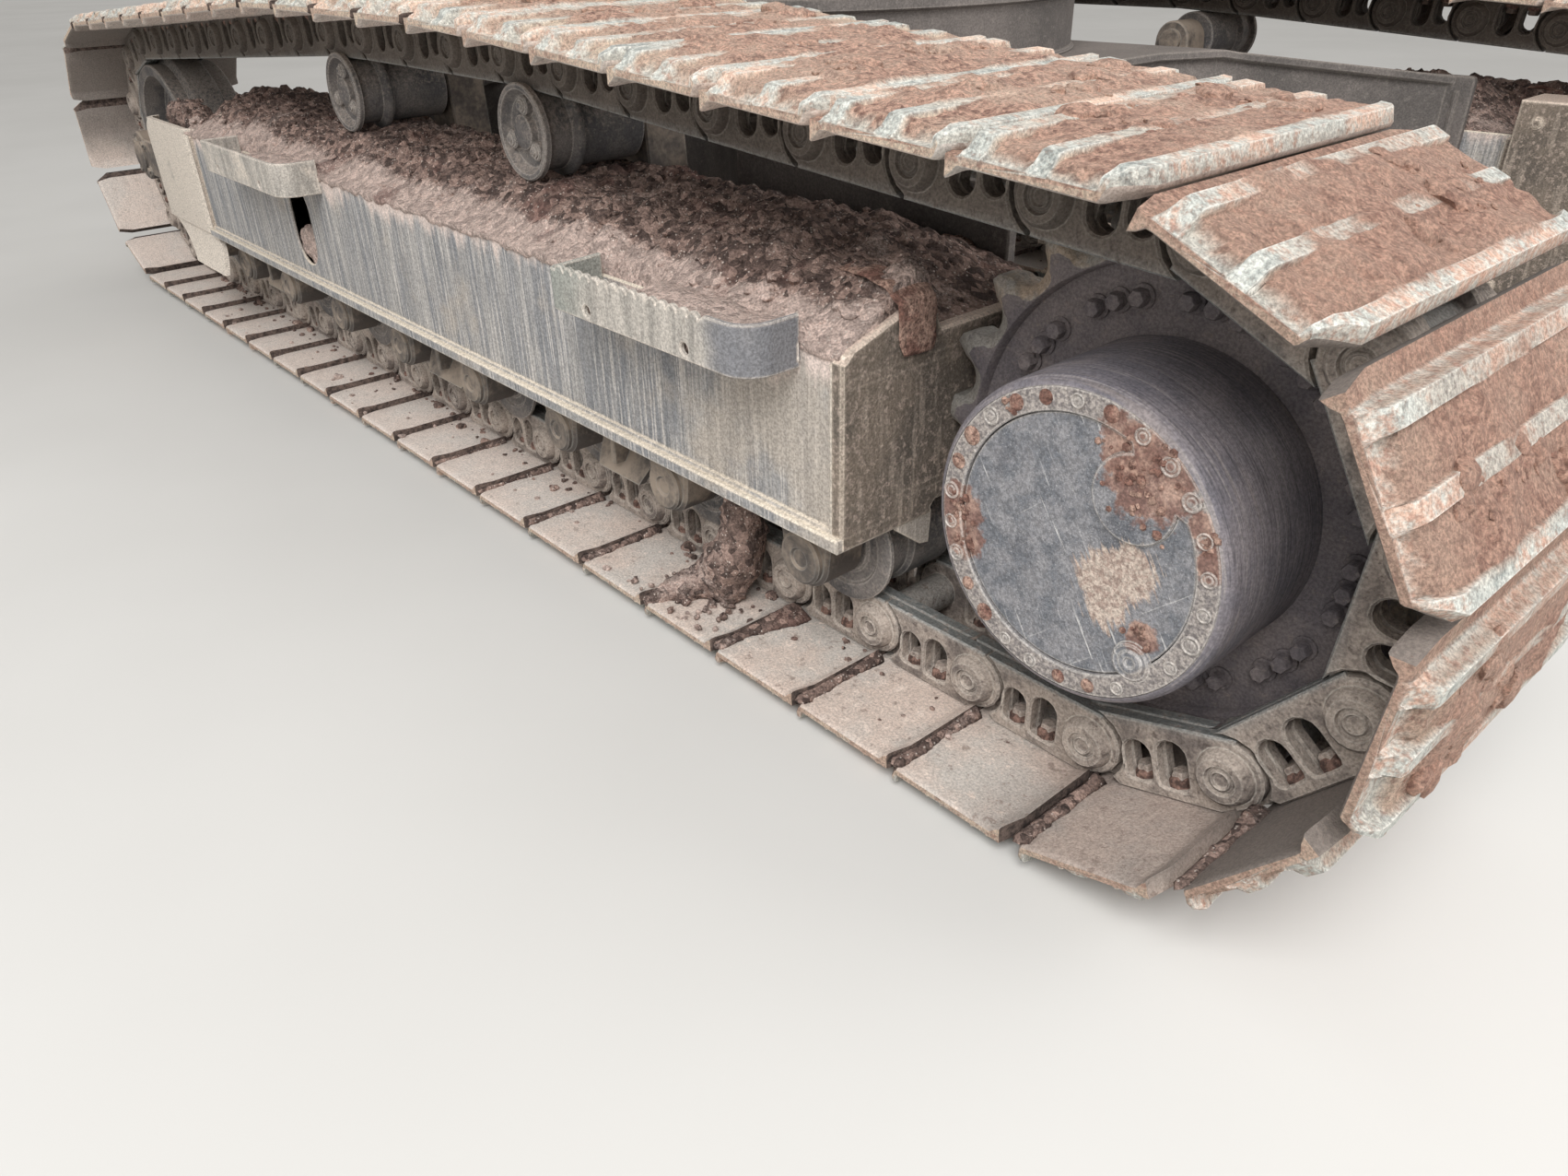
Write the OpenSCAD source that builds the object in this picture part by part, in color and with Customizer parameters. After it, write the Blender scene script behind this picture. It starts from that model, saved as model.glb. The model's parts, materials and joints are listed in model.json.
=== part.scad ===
// Crawler undercarriage of a hydraulic excavator.
// X points to the idlers, Y to the left, Z up. The origin is on the ground under the slew axis.
// Each track unit is drawn for the left side: x from its sprocket axle, y outwards from its middle.

/* [Layout] */
// Distance between the middles of the two tracks
gauge = 2390; // [2200:10:2800]
// Distance from the sprocket axle to the idler axle
wheelbase = 4066; // [3960:2:4200]

/* [Track] */
// Distance from one chain pin to the next
pitch = 216; // [210:0.5:222]
// Length of a shoe across the track
shoe_width = 600; // [580:10:800]
// Thickness of a shoe's plate
shoe_plate = 12; // [10:1:16]
// Height of a grouser above the plate
grouser_height = 28; // [20:1:34]
// Height of a chain pin's middle above the shoe's inner face
pin_height = 61; // [56:1:66]
// Height of the rail's running face above the pins
rail_height = 55; // [50:1:58]
// Thickness of one rail
rail_thickness = 44; // [36:1:50]
// Distance between the two rails
rail_gap = 124; // [120:1:132]

/* [Sprocket and final drive] */
// Number of teeth; every second gap takes a chain bushing
sprocket_teeth = 21; // [19:2:23]
// Width of a tooth
tooth_width = 62; // [54:1:70]
// Radius of a chain bushing's seat between two teeth
seat_radius = 35; // [32:0.5:37]
// Height of a tooth's tip above the pin circle
tip_rise = 16; // [10:1:20]
// Width of a tooth's worn tip
tip_land = 13; // [8:1:18]
// Radius of the final drive drum
drum_radius = 215; // [200:1:225]
// Distance of the drum's face from the middle of the track
drum_face = 219; // [200:1:230]
// Radius of the flange that carries the sprocket
drum_flange_radius = 286; // [270:1:290]
// Thickness of that flange
drum_flange = 25; // [20:1:28]
// Radius of the sunk cover on the drum's face
cover_radius = 172; // [160:1:180]
// Depth of that cover below the face
cover_depth = 5; // [3:1:8]
// Radius of the fixed hub behind the sprocket
hub_radius = 190; // [170:1:200]
// Thickness of the frame's plate that holds the drive
bracket_plate = 40; // [30:1:50]
// Radius of that plate round the axle
bracket_radius = 250; // [230:1:265]
// Distance of that plate's outer face behind the middle of the track
bracket_inset = 110; // [100:1:120]
// Radius of the travel motor
motor_radius = 140; // [120:1:150]
// Length of the travel motor behind the plate
motor_length = 140; // [120:1:144]

/* [Idler] */
// Radius of the idler's running face
idler_radius = 290; // [270:1:300]
// Height of the middle flange above the running face
idler_flange = 24; // [18:1:28]
// Radius of the idler's shaft
idler_shaft = 42; // [36:1:48]

/* [Rollers] */
// Number of track rollers under one frame
roller_count = 9; // [7:1:10]
// Radius of a track roller's running face
roller_radius = 90; // [84:1:96]
// Height of a roller's flanges above its running face
roller_flange = 20; // [14:1:22]
// Radius of a roller's shaft
roller_shaft = 34; // [30:1:40]
// First roller's distance ahead of the sprocket axle
first_roller = 500; // [480:5:540]
// Last roller's distance behind the idler axle
last_roller = 560; // [540:5:600]
// Radius of a carrier roller's running face
carrier_radius = 75; // [68:1:80]
// Height of a carrier roller's flanges
carrier_flange = 15; // [10:1:18]
// Distance of the rear carrier roller from the sprocket axle
carrier_rear_x = 1404; // [1300:2:1500]
// Gap between the rear carrier roller and the ridge of the frame
carrier_rear_gap = 15; // [10:1:20]
// Distance of the front carrier roller from the sprocket axle
carrier_front_x = 2270; // [2200:2:2400]
// Gap between the front carrier roller and the ridge of the frame
carrier_front_gap = 21; // [15:1:25]

/* [Track frame] */
// Width of the frame from side to side
frame_width = 500; // [480:2:510]
// Height of the frame's underside above the ground
frame_bottom = 326; // [320:1:332]
// Height of the top edge of the frame's sides
frame_top = 630; // [620:1:640]
// Rise of the frame's top towards its middle
frame_crown = 60; // [50:1:66]
// Width of the bottom ledges beyond the sides
ledge_width = 18; // [12:1:24]
// Thickness of the bottom ledges
ledge_height = 24; // [18:1:28]
// Distance of the frame's rear end from the sprocket axle
frame_rear = 361; // [355:1:370]
// Distance of the frame's front end behind the idler axle
frame_front_back = 848; // [800:2:880]
// Width of the channel under the frame that the rollers run in
channel_width = 262; // [256:1:280]
// Height of that channel
channel_height = 50; // [44:1:60]
// Thickness of the frame's plates
frame_plate = 14; // [10:1:18]

/* [Steps and guards] */
// Length of the rear step along the frame
rear_step_length = 510; // [480:5:540]
// Length of the front step along the frame
front_step_length = 560; // [530:5:600]
// Distance of the rear step from the sprocket axle
rear_step_x = 455; // [430:5:480]
// Distance of the front step from the sprocket axle
front_step_x = 2205; // [2180:5:2260]
// Height of a step's plate
step_height = 78; // [70:1:90]
// Height of a step's upper edge above the top edge of the frame's sides
step_rise = 38; // [30:1:44]
// Thickness of a step's plate
step_plate = 10; // [8:1:14]
// Reach of a step beyond the frame's side
step_reach = 100; // [90:1:110]
// Radius of a step's rear corner
step_rear_bend = 50; // [40:1:60]
// Radius of a step's front corner
step_front_bend = 12; // [11:1:20]
// Pitch of the scallops on the rear step
scallop_pitch = 25.6; // [24:0.2:26]
// Length of the idler guard ahead of the frame
guard_length = 476; // [440:2:490]
// Thickness of the guards' plates
guard_plate = 16; // [12:1:20]
// Depth of the groove between the idler guard and the frame
guard_groove = 22; // [16:1:24]
// Flare of the skid under the idler guard
skid_flare = 38; // [30:1:44]

/* [Car body] */
// Height of the car body's top plate
body_top = 818; // [800:1:830]
// Height of the car body's underside
body_bottom = 483; // [470:1:500]
// Height of a leg's top where it meets a track frame
leg_top = 752; // [740:1:760]
// Distance of the car body's front and rear edges from the slew axis
body_half_length = 931; // [900:1:960]
// Half length of the straight front and rear edges
body_edge = 430; // [400:5:460]
// Distance of a rear leg's outer corner from the slew axis, along the frame
leg_outer = 1536; // [1500:2:1560]
// Length of a leg's foot on the track frame
leg_foot = 700; // [600:10:740]
// Distance of a front leg's outer corner behind the frame's front end
leg_front_back = 25; // [10:5:60]
// Thickness of the car body's floor plate
floor_plate = 30; // [20:1:40]
// Thickness of the car body's top plate
body_plate = 20; // [16:1:24]
// Distance by which the car body's plates stand out past its walls
body_rim = 22; // [16:1:26]
// Radius of the bends in the car body's walls
wall_bend = 120; // [80:5:150]

/* [Slew bearing] */
// Outer radius of the turret ring
turret_radius = 788; // [780:1:800]
// Height of the turret ring's top
turret_top = 985; // [970:1:1000]
// Reach of the turret ring's top flange beyond its wall
turret_flange = 18; // [12:1:24]
// Inner radius of the turret ring
turret_inner = 612; // [600:1:620]
// Number of internal teeth
ring_teeth = 90; // [80:2:100]
// Radius to the tips of the internal teeth
ring_tip_radius = 620; // [616:1:630]
// Depth of the internal teeth
ring_tooth_depth = 26; // [20:1:30]
// Radius between the two races
race_radius = 702; // [695:1:710]
// Height of the inner race
inner_race_height = 105; // [95:1:115]
// Height of the outer race
outer_race_height = 128; // [118:1:136]
// Gap under the outer race
race_lift = 12; // [8:1:16]
// Diameter of the bolt circle on the outer race
bolt_circle = 1500; // [1490:2:1510]
// Number of bolts in that circle
bolt_count = 36; // [30:2:40]
// Diameter of a bolt hole
bolt_hole = 26; // [22:1:28]

/* [Swivel joint] */
// Radius of the swivel joint's body
swivel_radius = 105; // [95:1:115]
// Height of the swivel joint's body
swivel_height = 330; // [300:5:350]
// Radius of the spindle that turns in it
spindle_radius = 62; // [55:1:70]
// Height of the spindle's head
head_height = 60; // [50:1:64]

/* [Hidden] */
$fn = 72;

// Seat clearance between faces that touch on the real machine
seat = 0.3;
// Radial play of the slew bearing and the swivel joint
play = 0.3;
half_width = frame_width / 2;
frame_front = wheelbase - frame_front_back;
// Carrier rollers turn just above the ridge of the frame: [x, z]
carrier_low = frame_top + frame_crown + carrier_radius + carrier_flange;
carriers = [[carrier_rear_x, carrier_low + carrier_rear_gap],
    [carrier_front_x, carrier_low + carrier_front_gap]];

// Heights above the ground
shoe_face = grouser_height + shoe_plate;
pin_line = shoe_face + pin_height;
rail_line = pin_line + rail_height;
link_angle = 720 / sprocket_teeth;
sprocket_pins = pitch / 2 / sin(link_angle / 2);
idler_pins = sqrt(pow(idler_radius + rail_height + seat, 2) + pow(pitch / 2, 2));
axle_z = pin_line + sprocket_pins;
idler_z = pin_line + idler_pins;
roller_z = rail_line + roller_radius + seat;
roller_step = (wheelbase - last_roller - first_roller) / (roller_count - 1);

// The chain's path: a belt round sprocket, carrier rollers and idler, [x, z, radius] each.
// The bend slack keeps the straight links clear of a small roller where the path bends.
bend_slack = 5;
carrier_path = carrier_radius + rail_height + bend_slack;
wheels = [
    [0, axle_z, sprocket_pins],
    [carriers[0][0], carriers[0][1], carrier_path],
    [carriers[1][0], carriers[1][1], carrier_path],
    [wheelbase, idler_z, idler_pins]
];
// Links are straight, so pins are evenly spaced on a belt that lies this far inside their circle
chord_inset = sprocket_pins - pitch * sprocket_teeth / 4 / PI;

function tangent(a, b) = atan2(b[1] - a[1], b[0] - a[0])
    + acos((a[2] - b[2]) / norm([b[0] - a[0], b[1] - a[1]]));
normals = [for (k = [0:3]) tangent(wheels[k], wheels[(k + 1) % 4])];
starts = [normals[3], normals[0], normals[1], normals[2]];
sweeps = [normals[3] - normals[0], normals[0] - normals[1], normals[1] - normals[2],
    normals[2] - normals[3] + 360];
arcs = [for (k = [0:3]) (wheels[k][2] - chord_inset) * sweeps[k] * PI / 180];
function rim(k, angle) = [wheels[k][0] + wheels[k][2] * cos(angle),
    wheels[k][1] + wheels[k][2] * sin(angle)];
spans = [for (k = [0:3]) norm(rim((k + 1) % 4, normals[k]) - rim(k, normals[k]))];
legs = [for (k = [0:3]) arcs[k] + spans[k]];
loop_length = legs[0] + legs[1] + legs[2] + legs[3];
shoe_count = round(loop_length / pitch);
link = loop_length / shoe_count;

// Point of the path at a distance from the sprocket's lowest point
function path(s, k = 0) =
    s < arcs[k] ? rim(k, starts[k] - sweeps[k] * s / arcs[k])
    : s <= legs[k] || k == 3
        ? rim(k, normals[k]) + (s - arcs[k]) * [sin(normals[k]), -cos(normals[k])]
    : path(s - legs[k], k + 1);
pins = [for (i = [0:shoe_count - 1]) path(i * link)];
function pin(i) = pins[(i + shoe_count) % shoe_count];
function unit(v) = v / norm(v);
function along(i) = unit(pin(i + 1) - pin(i));
function outward(i) = [-along(i)[1], along(i)[0]];
// Corner of the ring that runs at a height outside the pins
function corner(i, rise) = let (b = unit(outward(i - 1) + outward(i)))
    pin(i) + b * rise / (b * outward(i));
function ring(rise) = [for (i = [0:shoe_count - 1]) corner(i, rise)];

// Shoe outline in one link: share of the pitch from pin to pin, height above the inner face
plate_rise = shoe_plate;
tip_height = shoe_plate + grouser_height;
bar_height = tip_height - 3;
// A lip at each end overlaps the drooping edge of the shoe behind it; two bars lie between
shoe_profile = [
    [0.023, tip_height], [0.09, plate_rise], [0.39, plate_rise], [0.44, bar_height], [0.50, plate_rise],
    [0.78, plate_rise], [0.82, bar_height], [0.88, bar_height], [0.94, plate_rise - 4], [0.965, tip_height]
];
shoe_points = [for (i = [0:shoe_count - 1]) for (q = shoe_profile)
    pin(i) + along(i) * q[0] * link + outward(i) * (pin_height + q[1])];

// Puts a track unit's piece on its side of the machine
module left() translate([-wheelbase / 2, gauge / 2, 0]) children();
module right() mirror([0, 1, 0]) left() children();
// Draws in the unit's x and z, and extrudes outwards between two distances from its middle
module across(inner, outer) translate([0, outer, 0]) rotate([90, 0, 0])
    linear_extrude(outer - inner) children();
// Turns an outline of [radius, y] round an axle that lies across the track
module turned(x, z) translate([x, 0, z]) rotate([-90, 0, 0]) rotate_extrude() children();
module axle(x, z, radius, inner, outer)
    translate([x, outer, z]) rotate([90, 0, 0]) cylinder(r = radius, h = outer - inner);

module track_shoes() color([0.66, 0.55, 0.47])
    across(-shoe_width / 2, shoe_width / 2) difference() {
        polygon(shoe_points);
        polygon(ring(pin_height));
    }

module track_chain() color([0.34, 0.32, 0.31])
    for (side = [-1, 1]) {
        middle = side * (rail_gap + rail_thickness) / 2;
        across(middle - rail_thickness / 2, middle + rail_thickness / 2) difference() {
            polygon(ring(pin_height - seat));
            polygon(ring(-rail_height));
        }
    }

// Half of the frame's cross section: [y, z]
ledge_y = half_width + ledge_width;
top_bevel = 12;
crown_y = 130;
crown_fall = 14;
end_rim = 8;
// Roof from the side up to the ridge, raised by a rim on the end plates
function roof(side, rim) = [
    [side, frame_top - top_bevel], [half_width - top_bevel, frame_top + rim],
    [crown_y, frame_top + frame_crown - crown_fall + rim], [0, frame_top + frame_crown + rim]];
channel = [
    [0, frame_bottom + channel_height], [channel_width / 2, frame_bottom + channel_height],
    [channel_width / 2, frame_bottom]];
frame_half = concat(channel, [[ledge_y, frame_bottom], [ledge_y, frame_bottom + ledge_height],
    [half_width, frame_bottom + ledge_height]], roof(half_width, 0));
end_half = concat(channel, [[half_width + end_rim, frame_bottom]], roof(half_width + end_rim, end_rim / 2));
module along_frame(from, to, outline) translate([from, 0, 0]) rotate([90, 0, 90])
    linear_extrude(to - from) {
        polygon(outline);
        mirror([1, 0]) polygon(outline);
    }
module frame_beam(from, to) along_frame(from, to, frame_half);

// Window in the outer side, and the space behind it that holds the recoil spring
window_x = 2408;
window_z = 480;
window_half = 42;
window_radius = 52;
spring_length = 560;
spring_drop = 60;
spring_roof = 40;
module window() hull() for (dz = [-1, 1])
    translate([window_x, half_width - 2 * frame_plate, window_z + dz * window_half])
        rotate([-90, 0, 0]) cylinder(r = window_radius, h = 3 * frame_plate, $fn = 32);
module spring_space()
    translate([window_x - spring_length / 2, -half_width + frame_plate, frame_bottom + spring_drop])
        cube([spring_length, frame_width - 2 * frame_plate,
            frame_top - frame_bottom - spring_drop - spring_roof]);

rear_end_plate = 24;
front_end_plate = 16;
sprocket_slot = 100;
sprocket_room = sprocket_pins + tip_rise + 18;
bracket_reach = frame_rear + 120;
module track_frame() color([0.47, 0.49, 0.50]) {
    difference() {
        union() {
            frame_beam(frame_rear, frame_front);
            along_frame(frame_rear, frame_rear + rear_end_plate, end_half);
            along_frame(frame_front - front_end_plate, frame_front, end_half);
            across(-bracket_inset - bracket_plate, -bracket_inset) difference() {
                union() {
                    translate([0, axle_z]) circle(bracket_radius);
                    polygon([[0, axle_z - bracket_radius], [bracket_reach, frame_bottom + 60],
                        [bracket_reach, frame_top - 20], [0, axle_z + bracket_radius]]);
                }
                translate([0, axle_z]) circle(motor_radius - 20);
            }
        }
        axle(0, axle_z, sprocket_room, -sprocket_slot / 2, sprocket_slot / 2);
        window();
        spring_space();
    }
}

guard_top = frame_top + 8;
guard_bottom = frame_bottom + 3;
guard_radius = 50;
guard_face = half_width + ledge_width * 2 / 3;
guard_end = frame_front + guard_length;
front_roll = 45;
module guard_outline() difference() {
    translate([frame_front, guard_bottom]) square([guard_length, guard_top - guard_bottom]);
    translate([guard_end - guard_radius, guard_top - guard_radius]) difference() {
        square(guard_radius + 1);
        circle(guard_radius);
    }
}
// The guard's plate from above: a groove at the frame, a straight face and a rolled front edge
module guard_plan() {
    bend = frame_front + guard_groove;
    polygon([[frame_front, guard_face - guard_groove], [bend - 12, guard_face - guard_groove],
        [bend + 10, guard_face], [guard_end - front_roll, guard_face],
        [guard_end - front_roll, guard_face - guard_plate], [bend + 16, guard_face - guard_plate],
        [bend - 6, guard_face - guard_groove - guard_plate],
        [frame_front, guard_face - guard_groove - guard_plate]]);
    translate([guard_end - front_roll, guard_face - front_roll]) intersection() {
        square(front_roll);
        difference() {
            circle(front_roll);
            circle(front_roll - guard_plate);
        }
    }
}
// Skid under the guard: a bent strip from the side, cut to its outline
skid_plate = 14;
skid_back = 100;
skid_ahead = 160;
skid_drop = 80;
module skid() difference() {
    intersection() {
        translate([frame_front - skid_back, 0, 0]) rotate([90, 0, 90])
            linear_extrude(skid_back + skid_ahead) polygon([
            [guard_face, guard_bottom + 16], [guard_face, guard_bottom - 8],
            [guard_face + skid_flare, guard_bottom - skid_drop],
            [guard_face + skid_flare - skid_plate, guard_bottom - skid_drop - 4],
            [guard_face - skid_plate, guard_bottom - 14], [guard_face - skid_plate, guard_bottom + 16]]);
        across(half_width - 20, half_width + 80) polygon([
            [frame_front - 50, guard_bottom + 20], [frame_front + 150, guard_bottom + 20],
            [frame_front + 20, guard_bottom - skid_drop - 5],
            [frame_front - 95, guard_bottom - skid_drop - 5]]);
    }
    translate([0, 0, -seat]) frame_beam(frame_front - 120, frame_front);
}
module guard_side() {
    intersection() {
        across(0, half_width + 100) guard_outline();
        translate([0, 0, guard_bottom]) linear_extrude(guard_top - guard_bottom) guard_plan();
    }
    skid();
    translate([frame_front, half_width - 60, guard_bottom])
        cube([14, 60 - guard_plate - 10, guard_top - guard_bottom]);
}
module idler_guard() color([0.60, 0.57, 0.50]) for (side = [0, 1])
    mirror([0, side, 0]) guard_side();

// A step from above: a strip bent out from the frame and back, its rear corner wide
module corner_cut(radius) difference() {
    translate([-1, 0]) square([radius + 1, radius + 1]);
    translate([radius, 0]) circle(radius);
}
module step_shape(length, inset, start) difference() {
    translate([inset, start]) square([length - 2 * inset, step_reach - inset - start]);
    translate([inset, step_reach - step_rear_bend]) corner_cut(step_rear_bend - inset);
    translate([length - inset, step_reach - step_front_bend]) mirror([1, 0])
        corner_cut(step_front_bend - inset);
}
scallop_count = 15;
scallop_depth = 8;
scallop_start = step_rear_bend + 54;
scallop_radius = (pow(scallop_pitch / 2, 2) + pow(scallop_depth, 2)) / 2 / scallop_depth;
// What is cut from the plate's upper edge above one round scallop
module scallop_gap() difference() {
    square([scallop_pitch, scallop_depth + 1]);
    translate([scallop_pitch / 2, scallop_depth - scallop_radius]) circle(scallop_radius);
}
drain_radius = 9.5;
drain_from_rear = 145;
drain_from_front = 105;
drain_height = 17;
module step(x, length, scalloped) translate([x, half_width + seat, frame_top + step_rise - step_height])
    difference() {
        linear_extrude(step_height) difference() {
            step_shape(length, 0, 0);
            step_shape(length, step_plate, -1);
        }
        for (hole_x = [drain_from_rear, length - drain_from_front])
            axle(hole_x, drain_height, drain_radius, step_reach - step_plate - 1, step_reach + 1);
        if (scalloped) for (k = [0:scallop_count - 1])
            translate([scallop_start + k * scallop_pitch, 0, step_height - scallop_depth])
                across(step_reach - step_plate - 1, step_reach + 1) scallop_gap();
    }
module steps() color([0.58, 0.56, 0.50]) {
    step(rear_step_x, rear_step_length, true);
    step(front_step_x, front_step_length, false);
}

// Chain guides between track rollers: [roller behind it, gap to the mounts, taper of each end]
guide_gap = 26;
guide_taper = 30;
long_guide_gap = 6;
long_guide_taper = 35;
guides = [[1, guide_gap, guide_taper], [3, long_guide_gap, long_guide_taper], [6, guide_gap, guide_taper]];
mount_half = 62;
guide_drop = 126;
module chain_guides() color([0.40, 0.38, 0.37]) for (g = guides) for (side = [-1, 1]) {
    x = first_roller + (g[0] + 0.5) * roller_step;
    half = roller_step / 2 - mount_half - g[1];
    inner = channel_width / 2 + guard_plate + 3;
    across(side > 0 ? inner : -inner - guard_plate, side > 0 ? inner + guard_plate : -inner)
        polygon([[x - half, frame_bottom - seat], [x - half + g[2], frame_bottom - guide_drop],
            [x + half - g[2], frame_bottom - guide_drop], [x + half, frame_bottom - seat]]);
}

idler_half = (rail_gap + 2 * rail_thickness) / 2;
idler_rim = 40;
module idler() color([0.40, 0.38, 0.36]) turned(wheelbase, idler_z) difference() {
    polygon([
        [idler_shaft + seat, -70], [110, -70], [120, -30], [idler_radius - idler_rim, -24],
        [idler_radius - idler_rim, -idler_half], [idler_radius, -idler_half],
        [idler_radius, -rail_gap / 2 + 6], [idler_radius + idler_flange, -rail_gap / 2 + 16],
        [idler_radius + idler_flange, rail_gap / 2 - 16], [idler_radius, rail_gap / 2 - 6],
        [idler_radius, idler_half], [idler_radius - idler_rim, idler_half],
        [idler_radius - idler_rim, 24], [120, 30], [110, 70], [idler_shaft + seat, 70]
    ]);
}

yoke_inner = idler_half + 14;
yoke_outer = half_width - 44;
yoke_start = 230;
yoke_back = frame_front + yoke_start;
yoke_half_height = 62;
module idler_yoke() color([0.36, 0.35, 0.34]) {
    for (side = [-1, 1])
        across(side > 0 ? yoke_inner : -yoke_outer, side > 0 ? yoke_outer : -yoke_inner) union() {
            translate([yoke_back, idler_z - yoke_half_height])
                square([wheelbase - yoke_back, 2 * yoke_half_height]);
            translate([wheelbase, idler_z]) circle(yoke_half_height + 20);
        }
    across(-yoke_outer, yoke_outer) translate([yoke_back, idler_z - yoke_half_height])
        square([80, 2 * yoke_half_height]);
    axle(wheelbase, idler_z, idler_shaft, -yoke_outer, yoke_outer);
    translate([frame_front + seat, 0, idler_z]) rotate([0, 90, 0])
        cylinder(r = 48, h = yoke_back - frame_front);
}

carrier_half = idler_half + 12;
module carrier_roller(x, z) turned(x, z) polygon([
    [roller_shaft + seat, -carrier_half], [carrier_radius, -carrier_half],
    [carrier_radius, rail_gap / 2 - 36], [carrier_radius + carrier_flange, rail_gap / 2 - 28],
    [carrier_radius + carrier_flange, rail_gap / 2 - 16], [carrier_radius, rail_gap / 2 - 8],
    [carrier_radius, idler_half + 1], [carrier_radius + carrier_flange, idler_half + 4],
    [carrier_radius + carrier_flange, carrier_half], [50, carrier_half],
    [50, carrier_half + 12], [0, carrier_half + 12], [0, carrier_half - 20],
    [roller_shaft + seat, carrier_half - 20]
]);
module carrier_rollers() color([0.33, 0.32, 0.32])
    for (c = carriers) carrier_roller(c[0], c[1]);

bracket_from = -half_width + 20;
bracket_to = -carrier_half - 12;
module carrier_brackets() color([0.40, 0.39, 0.38]) for (c = carriers) {
    difference() {
        across(bracket_from, bracket_to) union() {
            translate([c[0], c[1]]) circle(56);
            translate([c[0] - 70, frame_top - top_bevel])
                square([140, c[1] - frame_top + top_bevel]);
        }
        translate([0, 0, seat]) frame_beam(c[0] - 80, c[0] + 80);
    }
    axle(c[0], c[1], roller_shaft, bracket_from - 14, carrier_half - 22);
}

roller_half = idler_half + 14;
module track_rollers() color([0.34, 0.32, 0.31]) for (k = [0:roller_count - 1])
    turned(first_roller + k * roller_step, roller_z) polygon([
        [roller_shaft + seat, -roller_half], [roller_radius + roller_flange, -roller_half],
        [roller_radius + roller_flange, -roller_half + 10], [roller_radius, -roller_half + 14],
        [roller_radius, -rail_gap / 2 + 6], [roller_radius + 8, -rail_gap / 2 + 14],
        [roller_radius + 8, rail_gap / 2 - 14], [roller_radius, rail_gap / 2 - 6],
        [roller_radius, roller_half - 14], [roller_radius + roller_flange, roller_half - 10],
        [roller_radius + roller_flange, roller_half], [roller_shaft + seat, roller_half]
    ]);

collar_outer = half_width - 30;
module roller_mounts() color([0.38, 0.36, 0.35]) for (k = [0:roller_count - 1]) {
    x = first_roller + k * roller_step;
    for (side = [-1, 1])
        across(side > 0 ? roller_half + 4 : -collar_outer, side > 0 ? collar_outer : -roller_half - 4)
            union() {
                translate([x, roller_z]) circle(54);
                translate([x - mount_half, roller_z])
                    square([2 * mount_half, frame_bottom - seat - roller_z]);
            }
    axle(x, roller_z, roller_shaft, -collar_outer, collar_outer);
}

// Sprocket outline: a seat arc for each bushing, then the worn tip of the next tooth
tooth_angle = 360 / sprocket_teeth;
tip_radius = sprocket_pins + tip_rise;
tip_half_angle = atan(tip_land / 2 / tip_radius);
bolt_face_radius = 312;
bolt_face_depth = 18;
sprocket_points = [for (k = [0:sprocket_teeth - 1]) let (a = 270 + k * tooth_angle) each concat(
    [for (b = [-72, -36, 0, 36, 72])
        sprocket_pins * [cos(a), sin(a)] + seat_radius * [cos(a + 180 - b), sin(a + 180 - b)]],
    [for (b = [-1, 1]) let (t = a + tooth_angle / 2 + b * tip_half_angle)
        tip_radius * [cos(t), sin(t)]])];
bevel_start = sprocket_pins - 22;
bevel_depth = 10;
module sprocket() color([0.30, 0.29, 0.29]) difference() {
    intersection() {
        across(-tooth_width / 2, tooth_width / 2) translate([0, axle_z]) difference() {
            polygon(sprocket_points);
            circle(drum_radius + seat);
        }
        turned(0, axle_z) polygon([
            [0, -tooth_width / 2], [bevel_start, -tooth_width / 2],
            [tip_radius + 2, bevel_depth - tooth_width / 2], [tip_radius + 2, tooth_width / 2 - bevel_depth],
            [bevel_start, tooth_width / 2], [0, tooth_width / 2]]);
    }
    axle(0, axle_z, bolt_face_radius, tooth_width / 2 - bolt_face_depth, tooth_width / 2 + 1);
}

module drum_outline() {
    rim = drum_radius - 12;
    polygon([
        [0, -tooth_width / 2 - drum_flange], [drum_flange_radius, -tooth_width / 2 - drum_flange],
        [drum_flange_radius, -tooth_width / 2 - seat], [drum_radius, -tooth_width / 2 - seat],
        [drum_radius, drum_face - 10], [rim, drum_face], [cover_radius, drum_face],
        [cover_radius, drum_face - cover_depth], [0, drum_face - cover_depth]
    ]);
}
// Round lobe of the drum's face that bites into the cover: distance behind and above the axle, radius
lobe = [78, 92, 56];
module final_drive() color([0.23, 0.24, 0.25]) {
    turned(0, axle_z) drum_outline();
    axle(-lobe[0], axle_z + lobe[1], lobe[2], drum_face - cover_depth - 10, drum_face);
}

hub_inner = -bracket_inset;
module drive_hub() color([0.28, 0.28, 0.29])
    axle(0, axle_z, hub_radius, hub_inner, -tooth_width / 2 - drum_flange);

motor_flange = 32;
module travel_motor() color([0.30, 0.31, 0.32]) {
    back = -bracket_inset - bracket_plate;
    axle(0, axle_z, motor_radius, back - motor_flange, back);
    axle(0, axle_z, motor_radius - 25, back - motor_length + 38, back - motor_flange);
    axle(0, axle_z, motor_radius - 38, back - motor_length, back - motor_length + 38);
    across(back - motor_length + 10, back - 20) translate([60, axle_z - 70]) square([150, 140]);
}

guard_skin = 8;
guard_inner = -shoe_width / 2;
module motor_shell(inset) {
    translate([0, axle_z]) circle(bracket_radius - inset);
    translate([0, axle_z - bracket_radius + inset])
        square([frame_rear - seat, 2 * (bracket_radius - inset)]);
}
module motor_guard() color([0.44, 0.44, 0.44]) {
    back = -bracket_inset - bracket_plate - seat;
    across(guard_inner, back) difference() {
        motor_shell(0);
        motor_shell(guard_skin);
    }
    across(guard_inner - guard_skin, guard_inner) motor_shell(0);
}

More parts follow.
